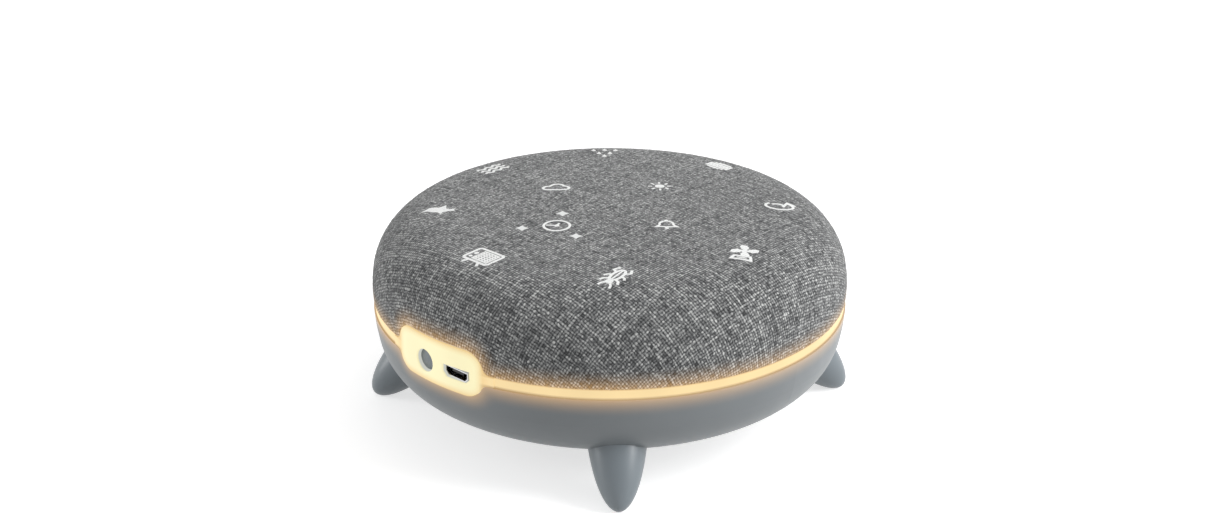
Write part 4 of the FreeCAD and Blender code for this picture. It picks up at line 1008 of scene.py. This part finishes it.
def makeTimerMarks():
    tree, inside, outside = newNodes("small light marks", [
        ("Inner Radius", "Float"), ("Outer Radius", "Float"),
        ("Thickness", "Float"), ("Material", "Material"),
    ])
    star = put(tree, "GeometryNodeCurveStar", {
        "Points": 4, "Inner Radius": inside["Inner Radius"],
        "Outer Radius": inside["Outer Radius"]
    })
    filled = put(tree, "GeometryNodeFillCurve", {"Curve": star.outputs["Curve"]})
    raised = put(tree, "GeometryNodeExtrudeMesh", {
        "Mesh": filled.outputs[0], "Offset Scale": inside["Thickness"], "Individual": False
    })
    under = put(tree, "GeometryNodeFlipFaces", {"Mesh": filled.outputs[0]})
    closed = put(tree, "GeometryNodeJoinGeometry")
    tree.links.new(raised.outputs[0], closed.inputs[0])
    tree.links.new(under.outputs[0], closed.inputs[0])
    merged = put(tree, "GeometryNodeMergeByDistance", {"Geometry": closed.outputs[0], "Distance": 1e-5})
    copies = put(tree, "GeometryNodeInstanceOnPoints", {
        "Points": inside["Geometry"], "Instance": merged.outputs[0],
        "Rotation": (0.0, 0.0, radians(timerMarks["turn"]))
    })
    endNodes(tree, copies, inside, outside)
    source = bpy.data.meshes.new("timer mark places")
    spots = []
    for x, y in timerMarks["places"]:
        height = onSection(lengthAtRadius(hypot(x, y)))[1]
        spots.append(Vector((x, y, height - prints["sink"])) * mm)
    source.from_pydata(spots, [], [])
    piece = runNodes("timer_marks", source, tree, {
        "Inner Radius": timerMarks["innerRadius"] * mm, "Outer Radius": timerMarks["outerRadius"] * mm,
        "Thickness": timerMarks["thickness"] * mm, "Material": printMaterial,
    })
    return piece


marksPiece = makeTimerMarks()
print("timer marks made,", len(marksPiece.data.polygons), "faces")

fibres = {
    "count": 4200,
    "seed": 11,
    "length": 0.95,
    "thickness": 0.03,
    "rise": 0.22,  # height of a fibre's arch over the cloth
    "sizes": (0.6, 1.3),
    "sizeSeed": 5,
}


def makeFibreMaterial():
    material, tree = newTree("loose grey fibre")
    grain = useGroup(tree, grainGroup, {"Object": objectPlace(tree), "Grain Size": 0.9})
    tone = ramp(tree, grain["Height"], [
        (0.36, linear(84, 85, 86)), (0.5, linear(150, 151, 151)), (0.64, linear(226, 226, 224))
    ])
    surface(tree, {"Base Color": tone, "Roughness": 0.8})
    return material


def makeFibres():
    tree, inside, outside = newNodes("fibres standing off the cloth", [
        ("Density", "Float"), ("Seed", "Int"), ("Length", "Float"),
        ("Thickness", "Float"), ("Rise", "Float"), ("Material", "Material"),
    ])
    seed = inside["Seed"]
    spread = put(tree, "GeometryNodeDistributePointsOnFaces", {
        "Mesh": inside["Geometry"], "Density": inside["Density"], "Seed": seed
    })
    half = times(tree, inside["Length"], 0.5)
    start, middle, end = [put(tree, "ShaderNodeCombineXYZ", places).outputs[0] for places in (
        {"X": times(tree, half, -1.0), "Z": times(tree, half, -0.1)},
        {"Y": times(tree, half, 0.5), "Z": inside["Rise"]},
        {"X": half, "Z": times(tree, half, -0.05)},
    )]
    line = put(tree, "GeometryNodeCurveQuadraticBezier", {
        "Resolution": 3, "Start": start, "Middle": middle, "End": end
    })
    edge = put(tree, "GeometryNodeCurvePrimitiveCircle", {
        "Resolution": 3, "Radius": times(tree, inside["Thickness"], 0.5)
    })
    fibre = put(tree, "GeometryNodeCurveToMesh", {
        "Curve": line.outputs[0], "Profile Curve": edge.outputs[0], "Fill Caps": True
    })
    about = put(tree, "FunctionNodeRandomValue", {"Seed": seed}, data_type="FLOAT")
    spin = put(tree, "ShaderNodeCombineXYZ", {"Z": times(tree, about.outputs[1], 2 * pi)})
    turnedBy = put(tree, "FunctionNodeRotateRotation", {
        "Rotation": spread.outputs["Rotation"], "Rotate By": spin.outputs[0]
    }, rotation_space="LOCAL")
    least, most = fibres["sizes"]
    sizing = {2: least, 3: most, "Seed": fibres["sizeSeed"]}
    size = put(tree, "FunctionNodeRandomValue", sizing, data_type="FLOAT")
    copies = put(tree, "GeometryNodeInstanceOnPoints", {
        "Points": spread.outputs["Points"], "Instance": fibre.outputs[0], "Rotation": turnedBy.outputs[0],
        "Scale": size.outputs[1],
    })
    endNodes(tree, copies, inside, outside)
    source = coverPiece.data.copy()
    area = sum(face.area for face in source.polygons)
    piece = runNodes("cloth_fibres", source, tree, {
        "Density": fibres["count"] / area, "Seed": fibres["seed"], "Length": fibres["length"] * mm,
        "Thickness": fibres["thickness"] * mm, "Rise": fibres["rise"] * mm, "Material": makeFibreMaterial(),
    })
    bpy.data.meshes.remove(source)
    return piece


fibrePiece = makeFibres()
print("cloth fibres made,", len(fibrePiece.data.polygons), "faces")

# Springy pieces. The rings round the speaker's cone are cut in sectors, so that neighbours meet
# along their cuts. The switch's snap dome is copied into a piece of its own.

ringBends = {
    "speaker_surround": {"sectors": 16, "fixedFrom": 23.7, "movesWithin": 21.1, "slot": "rubber"},
    "speaker_spider": {"sectors": 16, "fixedFrom": 14.4, "movesWithin": 8.75, "slot": "varnished_cloth"},
}


def copyOf(name, source, cuts):  # the CAD node's mesh on the inner side of each cut (point, outward normal)
    mesh = bmesh.new()
    mesh.from_mesh(nodes[source].data)
    bmesh.ops.remove_doubles(mesh, verts=mesh.verts, dist=1e-6)
    for place, outward in cuts:
        everything = mesh.verts[:] + mesh.edges[:] + mesh.faces[:]
        bmesh.ops.bisect_plane(
            mesh, geom=everything, dist=1e-7, plane_co=place, plane_no=outward, clear_outer=True
        )
        bmesh.ops.holes_fill(mesh, edges=[edge for edge in mesh.edges if edge.is_boundary], sides=0)
    bmesh.ops.triangulate(mesh, faces=[face for face in mesh.faces if len(face.verts) > 4])
    bmesh.ops.recalc_face_normals(mesh, faces=mesh.faces[:])
    return pieceFrom(mesh, name, nodes[source].data.materials[0])


def makeRingSectors(source, bend):
    low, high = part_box(source)
    height = (low[2] + high[2]) / 2
    half = pi / bend["sectors"]
    for k in range(bend["sectors"]):
        middle = 2 * half * k
        first, last = middle - half, middle + half
        piece = copyOf(f"{source}_{k:02d}", source, [
            ((0, 0, height), (sin(first), -cos(first), 0)),
            ((0, 0, height), (-sin(last), cos(last), 0)),
        ])
        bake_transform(piece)
        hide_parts(source)


def makeSnapDome():
    piece = copyOf("switch_dome_spring", "switch_dome", [])
    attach(piece, "housing")
    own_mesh(piece)
    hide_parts("switch_dome")


for source, bend in ringBends.items():
    makeRingSectors(source, bend)
makeSnapDome()
print("springy pieces made")

# Floor, background and light

studio = {
    "floorHalf": 3.0,
    "floorColour": 0.7,
    "floorShown": 0.64,  # extra brightness that the camera and reflections see, and nothing else
    "skyLight": 0.38,
    "aim": placeAt(0, 0, 25),
    "lamps": {  # place, size in metres, power
        "key": (placeAt(radians(118), 760, 480), (0.35, 0.55), 6.2),
        "top": (placeAt(radians(150), 300, 880), (0.8, 0.8), 2.0),
        "rim": (placeAt(radians(-50), 850, 220), (0.3, 0.6), 2.8),
    },
}


def shownMask(tree):  # 1 in what the camera, a reflection or glass shows, 0 in light that falls on things
    path = put(tree, "ShaderNodeLightPath")
    seen = calc(tree, "MAXIMUM", path.outputs["Is Camera Ray"], path.outputs["Is Transmission Ray"])
    return calc(tree, "MAXIMUM", seen, path.outputs["Is Glossy Ray"])


def makeFloor():
    material, tree = newTree("pale studio floor")
    surface(tree, {
        "Base Color": (studio["floorColour"],) * 3 + (1.0,), "Roughness": 0.8, "Specular IOR Level": 0.1,
        "Emission Color": white,
        "Emission Strength": times(tree, shownMask(tree), studio["floorShown"]),
    })
    data = bpy.data.meshes.new("studio_floor")
    half = studio["floorHalf"]
    corners = [(-half, -half, 0), (half, -half, 0), (half, half, 0), (-half, half, 0)]
    data.from_pydata(corners, [], [(0, 1, 2, 3)])
    newPiece("studio_floor", data, material)


def makeLamp(name, place, size, power):
    data = bpy.data.lights.new(name, "AREA")
    data.shape = "RECTANGLE"
    data.size, data.size_y = size
    data.energy = power
    lamp = newPiece(name, data)
    lamp.location = place
    lamp.rotation_euler = (studio["aim"] - place).to_track_quat("-Z", "Y").to_euler()


def makeWorld():
    world = bpy.data.worlds.new("studio")
    bpy.context.scene.world = world
    world.use_nodes = True
    tree = world.node_tree
    tree.nodes.clear()
    strength = timesPlus(tree, shownMask(tree), 1.0 - studio["skyLight"], studio["skyLight"])
    back = put(tree, "ShaderNodeBackground", {"Color": white, "Strength": strength})
    put(tree, "ShaderNodeOutputWorld", {"Surface": back.outputs[0]})


makeFloor()
makeWorld()
for name, (place, size, power) in studio["lamps"].items():
    makeLamp(name, place, size, power)
print("floor, world and lamps made")

# Camera, from the photograph's fitted view

view = {
    "azimuth": 43.0,
    "elevation": 23.81,
    "distance": 417.6,
    "sideways": 0.3,
    "lookDown": 22.73,
    "lens": 48.0,
    "sensor": 36.0,
    "clip": (0.01, 20.0),
}


def makeCamera():
    data = bpy.data.cameras.new("camera")
    data.lens, data.sensor_width = view["lens"], view["sensor"]
    data.clip_start, data.clip_end = view["clip"]
    up = radians(view["elevation"])
    place = Vector((view["sideways"], -view["distance"] * cos(up), view["distance"] * sin(up)))
    place.rotate(Matrix.Rotation(radians(view["azimuth"]), 3, "Z"))
    camera = newPiece("camera", data)
    camera.location = (place + Vector((0, 0, body["ringHeight"]))) * mm
    camera.rotation_euler = (radians(90.0 - view["lookDown"]), 0.0, radians(view["azimuth"]))
    bpy.context.scene.camera = camera


makeCamera()
bpy.context.scene.view_settings.view_transform = "Standard"
print("camera placed")
